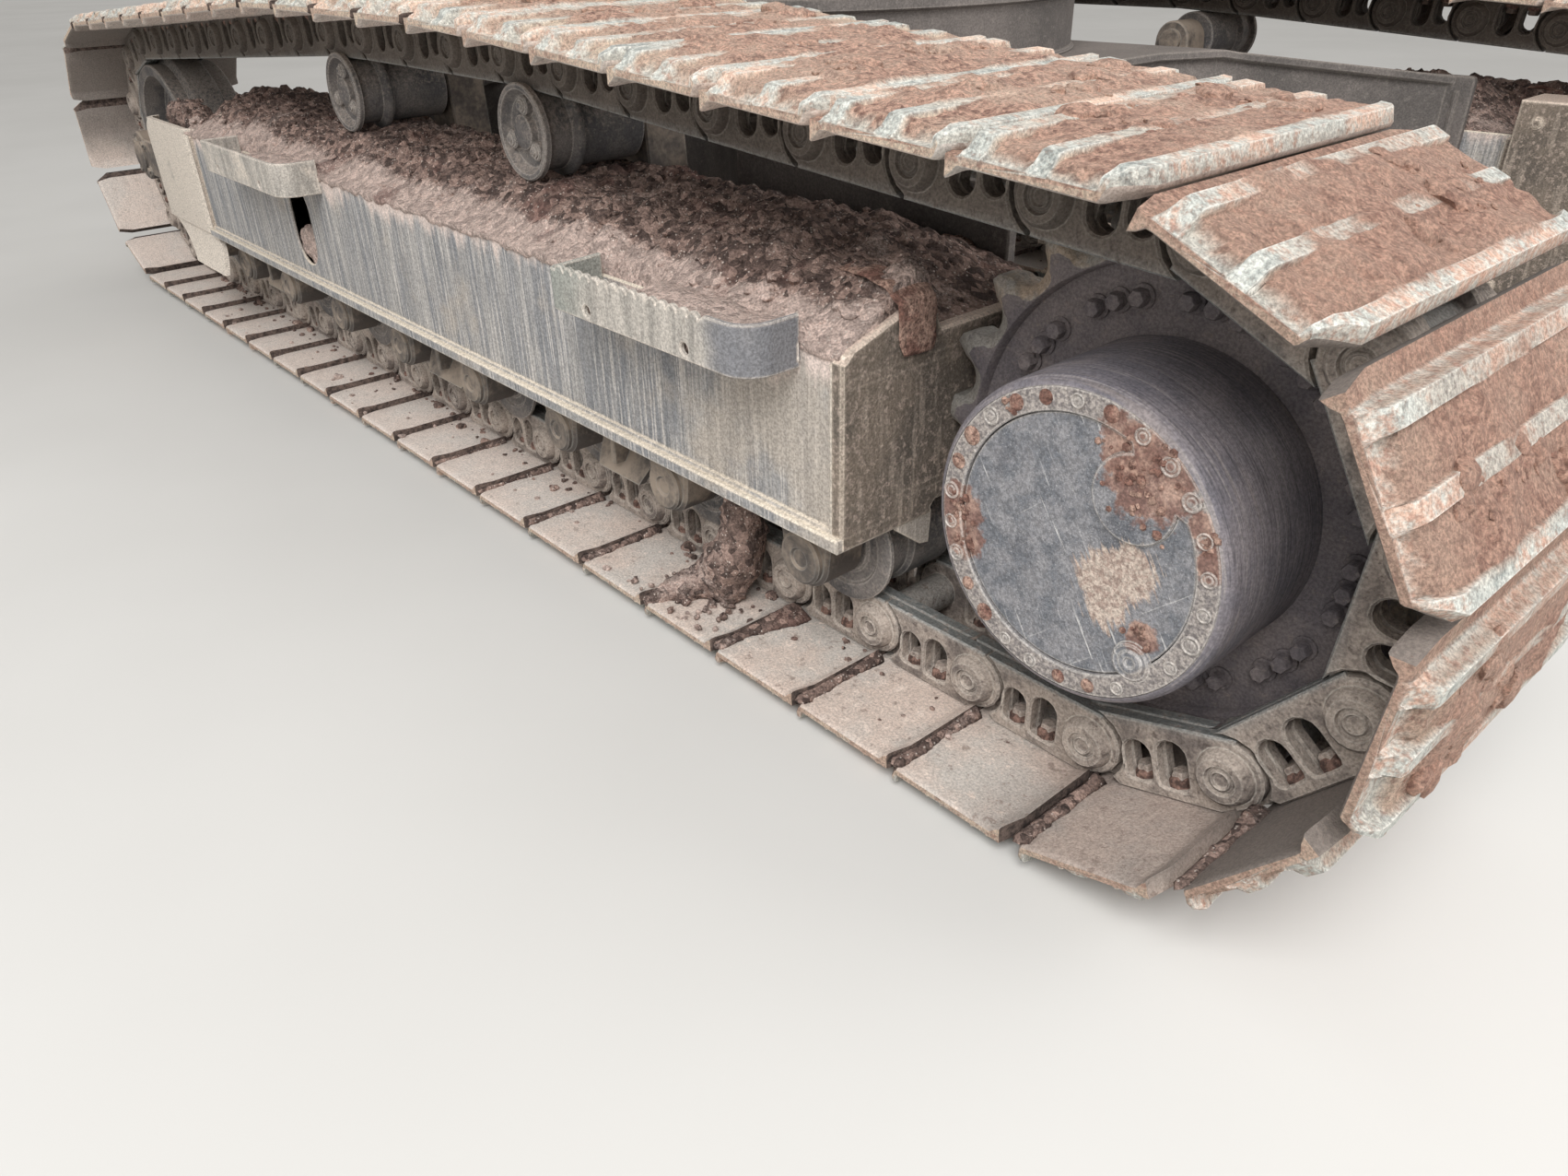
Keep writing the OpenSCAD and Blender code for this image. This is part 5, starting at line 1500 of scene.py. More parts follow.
def fillet(corners, radius, steps):
    """A closed outline whose corners are rounded, each by no more than its sides allow."""
    corners = [np.array(c, float) for c in corners]
    line = []
    for k, here in enumerate(corners):
        before, after = corners[k - 1] - here, corners[(k + 1) % len(corners)] - here
        a, b = before / np.linalg.norm(before), after / np.linalg.norm(after)
        angle = math.acos(np.clip(a @ b, -1, 1))
        reach = min(radius / math.tan(angle / 2), 0.45 * np.linalg.norm(before),
                    0.45 * np.linalg.norm(after))
        if reach < 1e-5:
            line.append(tuple(here))
            continue
        for share in np.linspace(0, 1, steps):
            first = here + a * reach * (1 - share)
            second = here + b * reach * share
            line.append(tuple(first * (1 - share) + second * share))
    return line


def body_outline(inset):
    """The car body in plan, drawn in by inset from the edges that face outwards."""
    half = []
    for corner, sign in ((FRONT_CORNER, 1), (list(reversed(REAR_CORNER)), -1)):
        half += [(sign * x, y) for x, y in corner]
    points = [np.array(p) for p in half + [(x, -y) for x, y in reversed(half)]]
    moved = []
    for k, here in enumerate(points):
        a = here - points[k - 1]
        b = points[(k + 1) % len(points)] - here
        a, b = a / np.linalg.norm(a), b / np.linalg.norm(b)
        inward = np.array([-a[1], a[0]]) + np.array([-b[1], b[0]])
        inward = inward / max(0.6, inward @ inward / 2)
        moved.append(tuple(here + inset * inward))
    return moved


def leg_height(y):
    """Height of the car body's top over a leg."""
    share = np.clip((np.abs(y) - LEG_START) / (LEG_END - LEG_START), 0, None)
    return BODY_HIGH - (BODY_HIGH - LEG_TOP) * share


def ring_up(profile, steps=96):
    """A profile of (radius, z) turned round the slew axis."""
    return swapped(lathe(profile, steps=steps), [0, 2, 1])


def pointing_out(made, distance, z, t):
    """A turned part that points away from the slew axis, at a distance, a height and an angle in radians."""
    points, faces = made
    out, along = points[:, 1] + distance, points[:, 0]
    return np.column_stack([out * math.cos(t) - along * math.sin(t), out * math.sin(t) + along * math.cos(t),
                            points[:, 2] + z]), faces


def standing_round(radius, z, turns):
    """Places round the slew axis at angles in radians."""
    return [(radius * math.cos(t), radius * math.sin(t), z) for t in turns]


def bolts_up(places, radius, height, upwards=1):
    """Bolts at places (x, y, z) that point along z."""
    return bolts(places, radius, height, upwards, (0, 2, 1))


def car_body(paint):
    """The car body: walls, top and bottom plates, the legs' end plates and the round well."""
    shape = Shape()
    wall, rim = 0.022, 0.020
    well = circle(WELL, 96)
    inside = fillet(body_outline(wall), 0.12, 6)
    edge = fillet(body_outline(0.001), 0.035, 4)

    # Walls: full height, bent down over the legs like the plate on them
    points, faces = plate_flat([inside, well], BODY_LOW + 0.004, BODY_HIGH - 0.006, 0.001)
    points, faces = cut_lines((points, faces), 1, (-LEG_START, LEG_START))
    high = points[:, 2] > BODY_HIGH - 0.05
    points[high, 2] += leg_height(points[high, 1]) - BODY_HIGH
    shape.add(points, faces)
    # Top and bottom plates stand out past the walls
    points, faces = plate_flat([edge, well], BODY_HIGH - rim, BODY_HIGH, 0.003)
    points, faces = cut_lines((points, faces), 1, (-LEG_START, LEG_START))
    points[:, 2] += leg_height(points[:, 1]) - BODY_HIGH
    shape.add(points, faces)
    shape.add(*plate_flat([edge], BODY_LOW, BODY_LOW + 0.024, 0.003))
    # End plates of the legs against the track frames, taller than the legs
    for corner, sign in ((FRONT_CORNER, 1), (REAR_CORNER, -1)):
        x0, x1 = sorted((sign * corner[3][0], sign * corner[4][0]))
        for side in (-1, 1):
            ends = slab(x0 - 0.006, x1 + 0.006, BODY_LOW, LEG_TOP + 0.006, 0.012)
            shape.add(*outside(plate([ends], LEG_END - 0.022, LEG_END, 0.003), side))
            y = side * (LEG_END - 0.024)
            for x in (x0 + 0.03, x1 - 0.03):
                shape.add(*weld((x, y, BODY_LOW + 0.03), (x, y, LEG_TOP - 0.03), 0.006))
    shape.add(*ring_up([(WELL - 0.001, BODY_LOW + 0.03), (WELL - 0.001, BODY_HIGH - 0.004),
                        (WELL + 0.02, BODY_HIGH - 0.004), (WELL + 0.02, BODY_LOW + 0.03)]))
    build("car_body_plates", shape, [paint], ["car_body"])


def belly(paint):
    """The cover under the swivel joint, with its bolts."""
    shape = Shape()
    low = BODY_LOW - 0.0103
    shape.add(*plate_flat([slab(-0.26, 0.26, -0.21, 0.21, 0.02)], low, low + 0.010, 0.002))
    places = [(x, y, low) for x in (-0.23, 0, 0.23) for y in (-0.18, 0.18)]
    places += [(x, 0, low) for x in (-0.23, 0.23)]
    shape.join(bolts_up(places, 0.012, 0.010, upwards=-1))
    build("belly_plate", shape, [paint], ["belly_cover"])


def turret(paint):
    """The turned ring that carries the slew bearing, with its weld on the car body."""
    shape = Shape()
    low = BODY_HIGH + SEAT
    profile = [(TURRET_INNER, low), (TURRET_RADIUS - 0.018, low),
               (TURRET_RADIUS - 0.018, TURRET_TOP - 0.045), (TURRET_RADIUS - 0.014, TURRET_TOP - 0.034),
               (TURRET_RADIUS - 0.003, TURRET_TOP - 0.030), (TURRET_RADIUS, TURRET_TOP - 0.027),
               (TURRET_RADIUS, TURRET_TOP - 0.003), (TURRET_RADIUS - 0.003, TURRET_TOP),
               (TURRET_INNER, TURRET_TOP)]
    points, faces = ring_up(profile, 128)
    count = len(profile)
    faces += [(j, (j + 1) % 128, (count - 1) * 128 + (j + 1) % 128, (count - 1) * 128 + j)
              for j in range(128)]
    shape.add(points, faces)
    turns = 220
    radius = TURRET_RADIUS - 0.017
    rings = []
    for k in range(turns):
        t = k * 2 * math.pi / turns
        swell = 0.008 * (1 + 0.15 * (k % 2))
        ring = []
        for s in np.linspace(0, 2 * math.pi, 7)[:-1]:
            out = radius + swell * math.cos(s)
            z = low + 0.002 + swell * abs(math.sin(s)) * (math.sin(s) > 0)
            ring.append((out * math.cos(t), out * math.sin(t), z))
        rings.append(ring)
    shape.add(*around(rings))
    build("turret_ring", shape, [paint], ["turret"])


RING_TEETH = 90
RING_TIP, RING_ROOT = 0.620, 0.646
# Radius on which the turning race's bolt holes lie
BOLT_RING = 0.750


def inner_race(material):
    """The fixed race with its internal teeth: flanks that widen towards the root, rounded there."""
    teeth = []
    step_angle = 2 * math.pi / RING_TEETH
    for k in range(RING_TEETH):
        for share, radius in ((-0.40, 0.02), (-0.30, 0.62), (-0.245, 0.94), (-0.20, 1.0), (0.20, 1.0),
                              (0.245, 0.94), (0.30, 0.62), (0.40, 0.02)):
            angle = (k + share) * step_angle
            r = RING_ROOT + (RING_TIP - RING_ROOT) * radius
            teeth.append((r * math.cos(angle), r * math.sin(angle)))
    rim = circle(RACE - 0.0002, 180)
    shape = Shape()
    top = TURRET_TOP + 0.105
    shape.add(*plate_flat([rim, teeth], TURRET_TOP, top, 0.002))
    places = standing_round(0.674, top, np.arange(36) * math.pi / 18 + 0.05)
    shape.join(bolts_up(places, 0.013, 0.014))
    build("toothed_race", shape, [material], ["slew_inner_race"])


def outer_race(material):
    """The race that turns: bolt holes and grease nipples."""
    shape = Shape()
    low, high = TURRET_TOP + 0.012, TURRET_TOP + 0.140
    rim = circle(TURRET_RADIUS, 180)
    bore = circle(RACE + 0.0004, 180)
    turns = [k * math.pi / 18 for k in range(36)]
    holes = [arc(BOLT_RING * math.cos(t), BOLT_RING * math.sin(t), 0.013, 0, 337.5, 16) for t in turns]
    shape.add(*plate_flat([rim, bore, *holes], low, high, 0.002))
    for k in range(4):
        nipple = lathe([(0.006, 0), (0.006, 0.006), (0.0035, 0.008), (0.0035, 0.012), (0, 0.013)], steps=12)
        shape.add(*pointing_out(nipple, TURRET_RADIUS - 0.001, low + 0.06, math.radians(20 + 90 * k)))
    build("turning_race", shape, [material], ["slew_outer_race"], body="slew_ring")


def swivel(paint, steel):
    """The centre swivel joint: its fixed case with ports, and the spindle that turns."""
    shape = Shape()
    floor_z = BODY_LOW + 0.030
    shape.add(*ring_up([(0, floor_z), (0.148, floor_z), (0.150, floor_z + 0.002), (0.150, floor_z + 0.028),
                        (0.148, floor_z + 0.030), (0.105, floor_z + 0.030), (0.105, floor_z + 0.326),
                        (0.101, floor_z + 0.330), (0.0624, floor_z + 0.330), (0.0624, floor_z + 0.032),
                        (0, floor_z + 0.032)], 64))
    places = standing_round(0.128, floor_z + 0.030, np.arange(8) * math.pi / 4)
    shape.join(bolts_up(places, 0.009, 0.010))
    for row, z in enumerate((0.09, 0.15, 0.21, 0.27)):
        for a in (25, 155, 205, 335):
            t = math.radians(a + 12 * (row % 2))
            port = lathe([(0.021, 0), (0.021, 0.010), (0.015, 0.012), (0.015, 0.022), (0.010, 0.022),
                          (0.010, 0.004), (0, 0.004)], steps=16)
            shape.add(*pointing_out(port, 0.101, floor_z + z, t))
    build("swivel_case", shape, [paint], ["swivel_body"])
    head = floor_z + 0.335
    spindle = Shape()
    holes = [arc(*spot(0, 0, 0.065, 45 + 90 * k), 0.0065, 0, 330, 12) for k in range(4)]
    rim = circle(0.097, 64)
    spindle.add(*plate_flat([rim], head, head + 0.036, 0.001))
    spindle.add(*plate_flat([rim, *holes], head + 0.036, head + 0.060, 0.0015))
    spindle.add(*ring_up([(0, head), (0.062, head), (0.062, floor_z + 0.035), (0, floor_z + 0.035)], 48))
    build("swivel_core", spindle, [steel], ["swivel_spindle"], body="swivel_rotor")


# Earth that lies on the machine


def soil_edge(x):
    """How far the earth reaches outwards: over the beam's edge, or into the two steps."""
    reach = FRAME_HALF + 0.004
    for start, length, _ in STEPS:
        rear, front = x - start - STEP_PLATE, start + length - STEP_PLATE - x
        if rear > 0 and front > 0:
            bend = STEP_REAR_BEND
            cut = bend - math.sqrt(max(0, bend ** 2 - max(0, bend - rear) ** 2))
            reach = FRAME_HALF + STEP_REACH - STEP_PLATE - 0.001 - cut
    return reach


def soil_height(x, y, seed):
    """Height of the earth's surface at x for a row of distances y from the middle of the track."""
    where = np.column_stack([np.full(len(y), x), y, np.full(len(y), seed * 3.0)])
    broad = ripple(where, 0.20, 11, 3) - 0.5
    lumps = ripple(where, 0.040, 12, 3) - 0.5
    crumbs = ripple(where, 0.013, 13, 2) - 0.5
    inward = smooth(FRAME_HALF - y, 0.0, 0.12)
    grain = (0.040 * lumps + 0.020 * crumbs) * (0.15 + inward)
    rise = np.maximum(crown(y), -0.002) - 0.004 * smooth(y, FRAME_HALF - 0.004, FRAME_HALF + 0.004)
    top = FRAME_TOP + rise + 0.005 + 0.018 * inward + 0.055 * broad * inward + grain
    # The mud in a step lies below its lip, lowest at the front, where the pocket is open
    for start, length, _ in STEPS:
        along = (x - start) / length
        level = STEP_TOP - 0.018 - 0.054 * smooth(along, 0.62, 0.84) + 0.03 * broad
        level = level + 0.010 * lumps - 0.010 * smooth(y, FRAME_HALF + 0.02, FRAME_HALF + 0.09)
        pocket = smooth(y, FRAME_HALF - 0.045, FRAME_HALF + 0.005)
        if 0 < along < 1:
            top = top * (1 - pocket) + level * pocket
    # At the rear end it slopes down to the plate's edge
    slope = (1 - smooth(x, FRAME_REAR + 0.02, FRAME_REAR + 0.20)) * smooth(0.080 - y, 0.0, 0.03)
    top = top * (1 - slope) + (FRAME_TOP - 0.008) * slope
    for cx, cz in CARRIERS:
        near = math.exp(-((x - cx) / 0.13) ** 2)
        roof = np.where(np.abs(y) < 0.145, cz - 0.088 + 0.12 * (1 - near), 9)
        top = np.minimum(top, roof)
        hollow = np.exp(-(((x - cx - 0.035) / 0.060) ** 4) - (((y - 0.050) / 0.040) ** 4))
        top = top - 0.060 * hollow
    # A flat cake of clay lies behind the rear step's front end
    cake = np.hypot((x - 1.012) / 0.042, (y - 0.150) / 0.062)
    flat = FRAME_TOP + 0.040 + 0.016 * (1 - smooth(cake, 0.8, 1.2)) + 0.004 * crumbs
    return np.where(cake < 1.25, np.maximum(top, flat), top)


def stone(shape, rng, lump_kind, size, flat, move):
    """Adds one ragged crumb or clod, placed by move."""
    points, faces = lump_kind
    swollen = points * (0.50 + 1.10 * ripple(points + rng.uniform(0, 50), 0.9, 21, 2))[:, None]
    angle = rng.uniform(0, math.pi)
    turned = np.column_stack([swollen[:, 0] * math.cos(angle) - swollen[:, 1] * math.sin(angle) * 0.75,
                              swollen[:, 0] * math.sin(angle) + swollen[:, 1] * math.cos(angle) * 0.75,
                              swollen[:, 2] * flat])
    shape.add(move(turned * size), faces, 1.0)


def soil(side, material):
    """The earth on a track frame as one surface, whose ragged rim hangs over the frame's edge."""
    shape = Shape()
    count = round(64 * DETAIL[side])
    rings = []
    base, deep = FRAME_TOP - 0.045, STEP_TOP - STEP_HEIGHT + 0.004
    for x in np.arange(FRAME_REAR + 0.012, FRAME_FRONT + 0.05, 0.0088 / DETAIL[side]):
        edge = soil_edge(x)
        y = np.linspace(-0.246, edge, count)
        top = soil_height(x, y, SIDES[side])
        ends = smooth(x, FRAME_REAR, FRAME_REAR + 0.05) * smooth(x, FRAME_FRONT + 0.05, FRAME_FRONT)
        top = np.minimum(top, FRAME_TOP + np.maximum(crown(y), -0.004) + 0.008 + 0.3 * ends)
        in_step = edge > FRAME_HALF + 0.01
        top = np.maximum(top, np.where((y > FRAME_HALF - 0.010) & in_step, deep, base) + 0.004)
        ring = list(zip(np.full(count, x), y, top))
        if in_step:
            ring += [(x, edge, deep), (x, FRAME_HALF - 0.012, deep)]
        else:
            hang = 0.006 + 0.030 * max(0.0, ripple([x, 0.0, SIDES[side]], 0.035, 15, 3)[0] - 0.35)
            hang = min(hang, top[-1] - base - 0.01)
            ring += [(x, edge - 0.001, top[-1] - hang), (x, FRAME_HALF - 0.004, top[-1] - hang - 0.004)]
        ring += [(x, FRAME_HALF - 0.014, base), (x, -0.246, base)]
        rings.append(ring)
    shape.add(*loft(rings))
    build_on(side, "soil", shape, [material], sharp=180)


def lump(rough):
    """A round lump with 80 or 20 faces."""
    work = bmesh.new()
    bmesh.ops.create_icosphere(work, subdivisions=2 if rough else 1, radius=1.0)
    points = np.array([tuple(v.co) for v in work.verts])
    faces = [[v.index for v in face.verts] for face in work.faces]
    work.free()
    return points, faces


def clods(side, material):
    """Crumbs and clods that lie on the frame, at its front end and on the insides of the bottom shoes."""
    rng = random.Random(12 if side == "left" else 13)
    shape = Shape()
    round_lump, crumb = lump(True), lump(False)

    def drop(place, size, big):
        """Adds a clod, or a crumb, at a place."""
        stone(shape, rng, round_lump if big else crumb, size, rng.uniform(0.45, 0.75),
              lambda points: points + place)

    for k in range(round(1000 * DETAIL[side])):
        x = rng.uniform(FRAME_REAR + 0.05, FRAME_FRONT - 0.03)
        y = rng.uniform(-0.16, 0.225)
        if any(abs(x - cx) < 0.13 and y < 0.22 for cx, _ in CARRIERS):
            continue
        big = k % 7 == 0
        size = rng.uniform(0.008, 0.021) if big else rng.uniform(0.0035, 0.0095)
        drop((x, y, soil_height(x, np.array([y]), SIDES[side])[0] - 0.1 * size), size, big)
    for k in range(70):
        x, y = FRAME_FRONT + 0.030 + rng.gauss(0, 0.022), 0.205 + rng.gauss(0, 0.022)
        size = rng.uniform(0.005, 0.016)
        rise = 0.045 * math.exp(-((x - FRAME_FRONT - 0.03) / 0.03) ** 2 - ((y - 0.205) / 0.03) ** 2)
        drop((x, min(y, 0.246), FRAME_TOP - 0.006 + rise * rng.random()), size, k % 2 == 0)
    # On the inner faces of the bottom shoes, beyond the rails
    inner_face = PIN_LINE - PIN_HEIGHT
    for k in range(round(430 * DETAIL[side])):
        x = rng.uniform(0.12, 3.85)
        y = rng.choice((-1, 1)) * (0.112 + 0.175 * rng.random() ** 2.6)
        big = k % 9 == 0
        size = rng.uniform(0.008, 0.016) if big else rng.uniform(0.0025, 0.008)
        drop((x, y, inner_face + size * 0.3), size, big)
    build_on(side, "clods", shape, [material], sharp=35)


def shoe_clods(side, materials):
    """Cracked clods and crumbs of clay that stick out of the load on the upper shoes."""
    rng = random.Random(22 if side == "left" else 23)
    shape = Shape()
    round_lump, crumb = lump(True), lump(False)
    for i in range(2, TOP_LINKS + 1):
        move = on_link(i)
        rear = i < 12
        for _ in range(4 if rear else 2):
            cu, cy = rng.uniform(25, 185) * MM, rng.uniform(-0.235, 0.200)
            for part in range(round(11 * DETAIL[side])):
                big = part < 3
                u = cu + rng.gauss(0, 0.026) * (0.5 if big else 1)
                y = cy + rng.gauss(0, 0.038) * (0.5 if big else 1)
                if not (0.0 < u < 0.195 and abs(y) < 0.25):
                    continue
                size = rng.uniform(0.012, 0.030 if rear else 0.022) if big else rng.uniform(0.003, 0.009)
                level = clay_level(i, side, np.array([u]), np.array([y]))[0][0]
                place = [u, y, PIN_HEIGHT + level - 0.05 * size]
                stone(shape, rng, round_lump if big else crumb, size, 0.42,
                      lambda points: move(points + place))
    build_on(side, "shoe_clods", shape, materials, sharp=35)


def gap_soil(side, material):
    """Earth in the corner behind each of the rear bottom shoes, widest at the chain."""
    shape = Shape()
    for i in range(LINKS):
        here, after = PINS[i], PINS[(i + 1) % LINKS]
        if here[1] > PIN_LINE + 0.05 or here[0] < after[0] or after[0] > 1.9:
            continue
        amount = 1 - 0.8 * smooth(after[0], 0.8, 1.7)
        spread = ripple([i * 1.7, 0.0, SIDES[side]], 1.0, 74, 1)[0]
        move = on_link((i + 1) % LINKS)
        for sign in (-1, 1):
            rings = []
            for across in np.linspace(0.110, 0.298, 30):
                where = np.array([[i * PITCH, across * sign, 0.0]])
                swell = ripple(where, 0.030, 71, 3)[0]
                near = 1 - smooth(across, 0.110, 0.110 + 0.11 * (0.4 + spread))
                width = (4 + 15 * swell + 50 * near * spread * spread) * amount * MM
                tall = (5 + 8 * swell + 9 * near) * (0.4 + 0.6 * amount) * MM
                if across > 0.292:
                    width, tall = 0.002, 0.001
                u = np.array([4 * MM, 9 * MM, 13 * MM, 14 * MM + 0.35 * width, 14 * MM + 0.7 * width,
                              14 * MM + width])
                v = np.array([min(tall, 8 * MM), min(tall, 8 * MM), tall, 0.75 * tall, 0.45 * tall, -1 * MM])
                ring = np.column_stack([u, np.full(6, across * sign), PIN_HEIGHT - v])
                grain = ripple(ring + [i, 0, 0], 0.008, 73, 2) - 0.5
                ring[2:5, 2] -= 9 * MM * grain[2:5]
                ring[3:, 0] += 8 * MM * grain[3:]
                rings.append(ring)
            points, faces = loft(rings)
            shape.add(move(points), faces)
    build_on(side, "gap_soil", shape, [material], sharp=180)


def between(path, count):
    """Rows spread evenly along the rows of a path."""
    share = np.linspace(0, len(path) - 1, count)
    return np.column_stack([np.interp(share, range(len(path)), path[:, k]) for k in range(path.shape[1])])


def mud_flow(side, material):
    """A flat tongue of smooth clay that slid over the rear end of the frame beside the sprocket."""
    rings = []
    # x, y, z and half its width
    path = np.array([(0.50, 0.100, 0.700, 0.030), (0.44, 0.108, 0.706, 0.040), (0.385, 0.113, 0.697, 0.040),
                     (0.3575, 0.114, 0.680, 0.038), (0.3555, 0.115, 0.650, 0.037),
                     (0.3555, 0.114, 0.620, 0.036), (0.3565, 0.113, 0.604, 0.030)])
    fine = between(path, 5 * (len(path) - 1) + 1)
    ways = np.gradient(fine[:, [0, 2]], axis=0)
    for (x, y, z, width), (dx, dz) in zip(fine, ways):
        away = np.array([dz, 0, -dx]) / math.hypot(dx, dz)
        turn = np.linspace(0, 2 * math.pi, 29)[:-1]
        ring = np.array([(x, y + width * math.cos(t), z) + away * 0.006 * math.sin(t) for t in turn])
        ring += (ripple(ring, 0.030, 51, 2) - 0.5)[:, None] * away * 0.006
        ring[:, 1] += (ripple(ring, 0.04, 52, 2) - 0.5) * 0.012
        rings.append(ring)
    shape = Shape()
    shape.add(*loft(rings), 0.3)
    build_on(side, "mud_flow", shape, [material], sharp=180)


def window_mud(side, material):
    """Earth that fills the lower half of the window."""
    x, z, half, _ = WINDOW
    ball = lump(True)
    shape = Shape()
    rng = random.Random(4)
    for _ in range(70):
        turn, reach = rng.uniform(0, 2 * math.pi), rng.random() ** 0.5
        place = (x + 0.056 * reach * math.cos(turn), FRAME_HALF - 0.011 - 0.006 * rng.random(),
                 z - half - 0.018 + 0.040 * reach * math.sin(turn))
        stone(shape, rng, ball, rng.uniform(0.012, 0.020), 0.9, lambda points: points * [1, 0.45, 1] + place)
    build_on(side, "window_mud", shape, [material], sharp=60)


def heap(shape, path, seed, steps):
    """A lumpy mass of earth along a path of points with its radius at each: x, y, z, radius."""
    line = between(np.array(path), steps)
    ways = np.gradient(line[:, :3], axis=0)
    turn = np.arange(28) * math.pi / 14
    rings = []
    for (x, y, z, radius), way in zip(line, ways):
        way = way / np.linalg.norm(way)
        one = np.cross(way, [0.0, 1.0, 0.1])
        one /= np.linalg.norm(one)
        two = np.cross(way, one)
        spoke = np.cos(turn)[:, None] * one + np.sin(turn)[:, None] * two
        ring = np.array([x, y, z]) + radius * spoke
        swell = 0.7 * (ripple(ring, 0.045, seed, 3) - 0.5) + 0.35 * (ripple(ring, 0.014, seed + 1, 3) - 0.5)
        ring = ring + spoke * (radius * swell + 0.012 * (ripple(ring, 0.009, seed + 2, 2) - 0.5))[:, None]
        rings.append(np.maximum(ring, [-9, -9, 0.028]))
    shape.add(*loft(rings), 1.0)


def corner_mud(side, material):
    """Earth that fell past the frame's rear corner onto the shoes, and earth behind the idler's guard."""
    crumb = lump(False)
    shape = Shape()
    rng = random.Random(6)
    heap(shape, [(0.722, 0.152, 0.300, 0.026), (0.720, 0.152, 0.255, 0.038), (0.726, 0.156, 0.195, 0.044),
                 (0.745, 0.160, 0.130, 0.050), (0.770, 0.166, 0.085, 0.054), (0.796, 0.180, 0.062, 0.050),
                 (0.820, 0.206, 0.050, 0.038), (0.836, 0.240, 0.044, 0.027), (0.845, 0.272, 0.040, 0.018),
                 (0.849, 0.300, 0.038, 0.006)], 81, 46)
    heap(shape, [(3.250, 0.190, 0.612, 0.012), (3.290, 0.190, 0.628, 0.034), (3.370, 0.182, 0.648, 0.050),
                 (3.450, 0.180, 0.652, 0.050), (3.540, 0.182, 0.636, 0.036), (3.610, 0.184, 0.612, 0.012)],
         87, 44)
    for k in range(150):
        if k % 2:
            place = [rng.gauss(0.790, 0.055), rng.gauss(0.215, 0.040), 0.046]
        else:
            place = [rng.uniform(3.30, 3.54), rng.gauss(0.185, 0.020), rng.gauss(0.672, 0.010)]
        place[1] = min(max(place[1], 0.140), 0.285 if k % 2 else 0.236)
        stone(shape, rng, crumb, rng.uniform(0.004, 0.011), 0.8, lambda points: points + place)
    build_on(side, "corner_mud", shape, [material], sharp=60)


shoe_outer = shoe_outer_material()
shoe_inner = shoe_inner_material()
# Painted shade for the slots between the lower shoes
slot_shade = slot_material()
chain_steel = chain_material()
running_gear = roller_material()
mount_steel = steel_material("mount_steel", srgb(84, 78, 74), srgb(150, 136, 122))
frame_paint = frame_material()
end_paint = end_plate_material()
guard_paint = guard_material("guard_paint", 0.34)
step_paint = guard_material("step_paint", 0.04)
sprocket_steel = sprocket_material()
drive_paint = steel_material("drive_paint", srgb(44, 46, 49), srgb(112, 104, 96), 0.75, 1.05)
drum_side = drum_side_material()
drum_face = drum_face_material()
clay_plugs = clay_plug_material()
body_paint = body_material()
race_steel = race_material()
earth = soil_material("earth")
clod_earth = soil_material("clod_earth", 0.06)
gap_earth = soil_material("gap_earth", 0.02, 0.0)

for side in SIDES:
    track_shoes(side, [shoe_outer, shoe_inner, slot_shade])
    chain(side, chain_steel)
    sprocket(side, [sprocket_steel])
    final_drive(side, drum_side, drum_face)
    drum_bolts(side, drum_face, clay_plugs)
    motor_side(side, drive_paint)
    motor_guard(side, end_paint)
    track_frame(side, [frame_paint, end_paint])
    steps(side, step_paint)
    idler_guard(side, guard_paint)
    idler(side, running_gear)
    idler_yoke(side, mount_steel)
    carriers(side, running_gear, mount_steel)
    track_rollers(side, running_gear, mount_steel)
    chain_guides(side, mount_steel)
    soil(side, earth)
    clods(side, clod_earth)
    shoe_clods(side, [shoe_outer])
    gap_soil(side, gap_earth)
    mud_flow(side, clay_plugs)
    window_mud(side, earth)
    corner_mud(side, gap_earth)

car_body(body_paint)
belly(body_paint)
turret(body_paint)
inner_race(race_steel)
outer_race(race_steel)
swivel(drive_paint, race_steel)

SLOT_MATERIALS = {
    "shoe_steel": shoe_outer, "chain_steel": chain_steel, "running_gear": running_gear,
    "frame_paint": frame_paint, "sprocket_steel": sprocket_steel, "drive_paint": drive_paint,
    "body_paint": body_paint, "race_steel": race_steel}
for part in frame["record"]["subparts"]:
    node = frame["nodes"][part["node"]]
    node.data.materials.clear()
    node.data.materials.append(SLOT_MATERIALS[part["material_slot"]])


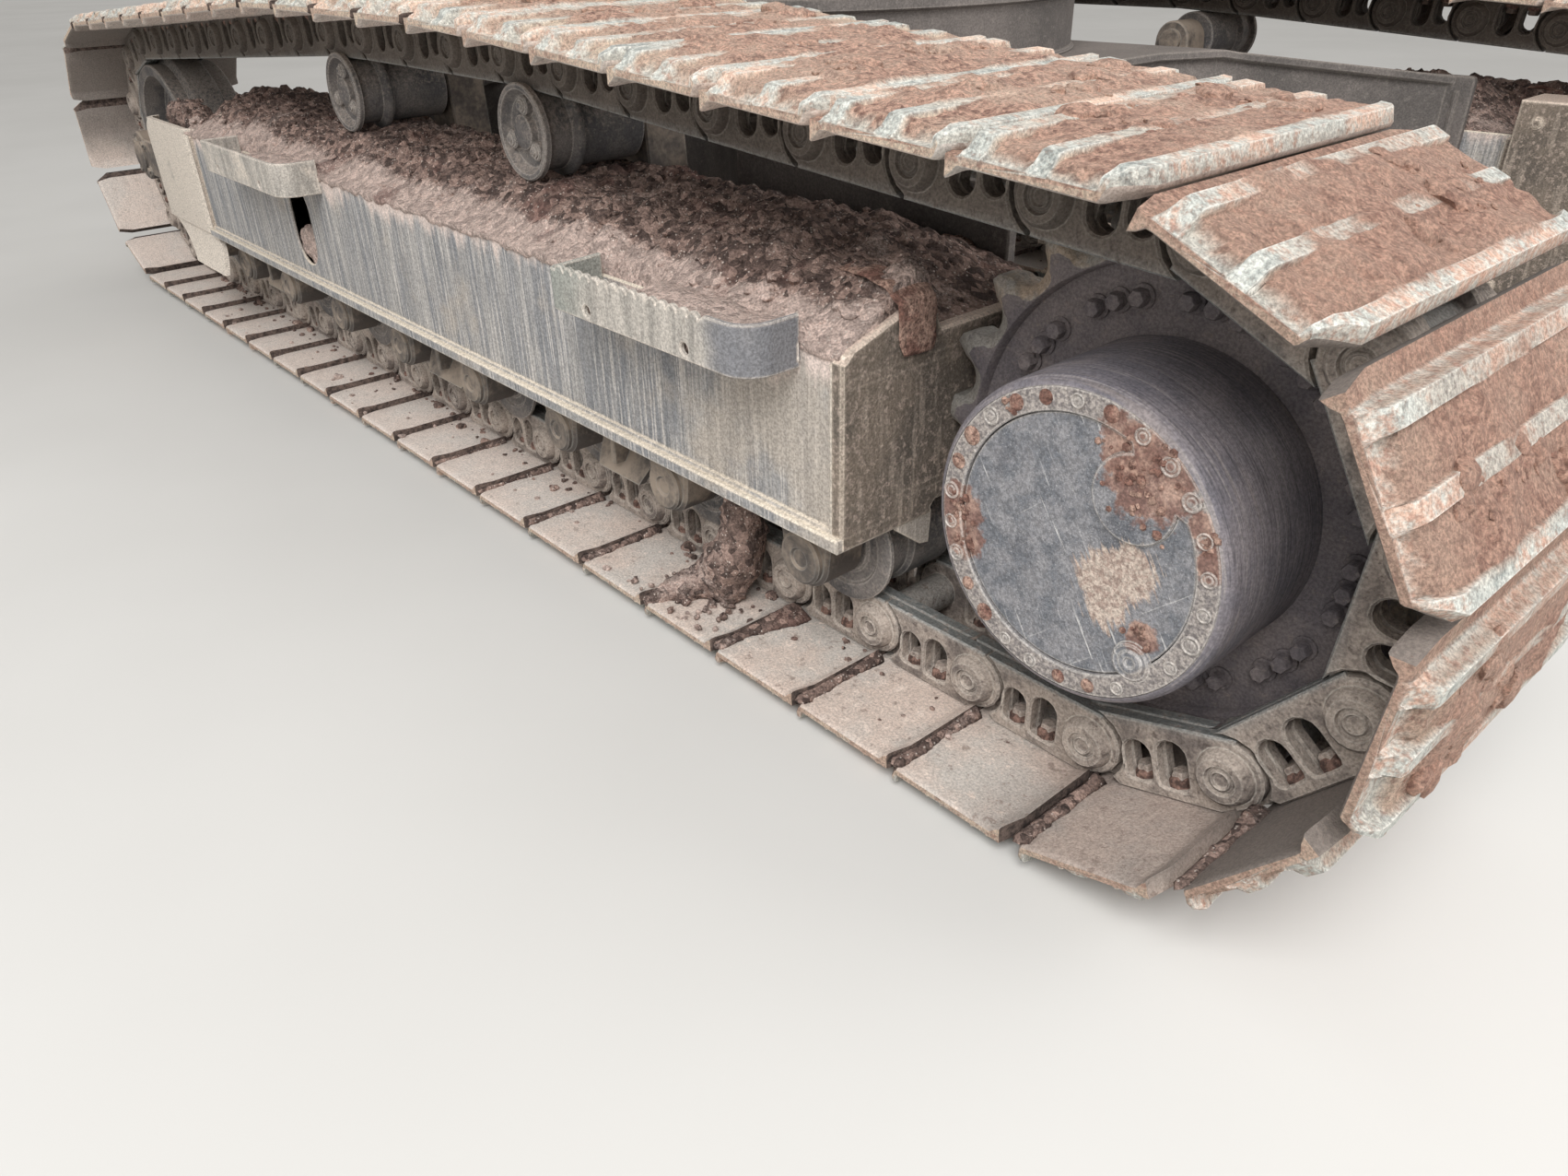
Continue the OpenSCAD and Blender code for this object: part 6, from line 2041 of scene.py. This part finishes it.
def floor():
    """A plain pale floor that belongs to the stage."""
    p = Paint("floor")
    p.color = p.blend(p.band(p.noise(0.6, 3), 0.3, 0.7), (0.56, 0.55, 0.53, 1), (0.60, 0.59, 0.57, 1))
    p.finish(0.9)
    size = 40
    mesh = bpy.data.meshes.new("floor")
    mesh.from_pydata([(-size, -size, 0), (size, -size, 0), (size, size, 0), (-size, size, 0)], [],
                     [(0, 1, 2, 3)])
    mesh.materials.append(p.material)
    piece = bpy.data.objects.new("floor", mesh)
    bpy.context.scene.collection.objects.link(piece)


def lights():
    """A bright even sky and two large lamps on the photograph's side."""
    world = bpy.data.worlds.new("studio")
    bpy.context.scene.world = world
    world.use_nodes = True
    sky = world.node_tree.nodes["Background"]
    sky.inputs["Color"].default_value = (1.0, 0.99, 0.97, 1)
    sky.inputs["Strength"].default_value = 0.7
    # Name, place, point it looks at, size and power
    for name, place, aim, size, power in (
            ("key", (-4.5, 5.0, 6.0), (-0.5, 0.5, 0.3), 4.0, 540),
            ("fill", (-6.0, -2.0, 3.5), (-1.0, 0.5, 0.4), 4.0, 150)):
        lamp = bpy.data.lights.new(name, "AREA")
        lamp.size = size
        lamp.energy = power
        piece = bpy.data.objects.new(name, lamp)
        piece.location = place
        piece.rotation_euler = (Vector(aim) - Vector(place)).to_track_quat("-Z", "Y").to_euler()
        bpy.context.scene.collection.objects.link(piece)


def camera():
    """The photograph's view: place in metres, turn, tilt and roll in degrees, lens in millimetres."""
    place = (-2.7125, 2.4586, 1.1347)
    yaw, tilt, roll = (math.radians(a) for a in (-40.60, 30.90, 1.46))
    ahead = np.array([math.cos(yaw) * math.cos(tilt), math.sin(yaw) * math.cos(tilt), -math.sin(tilt)])
    right = np.cross(ahead, [0, 0, 1])
    right = right / np.linalg.norm(right)
    down = np.cross(ahead, right)
    across = right * math.cos(roll) + down * math.sin(roll)
    below = down * math.cos(roll) - right * math.sin(roll)
    lens = bpy.data.cameras.new("camera")
    lens.lens = 25.49
    lens.sensor_width = 36
    lens.sensor_fit = "HORIZONTAL"
    view = bpy.data.objects.new("camera", lens)
    turned = Matrix((across, -below, -ahead)).transposed().to_4x4()
    turned.translation = place
    view.matrix_world = turned
    bpy.context.scene.collection.objects.link(view)
    bpy.context.scene.camera = view


floor()
lights()
camera()
bpy.context.scene.view_settings.view_transform = "Standard"
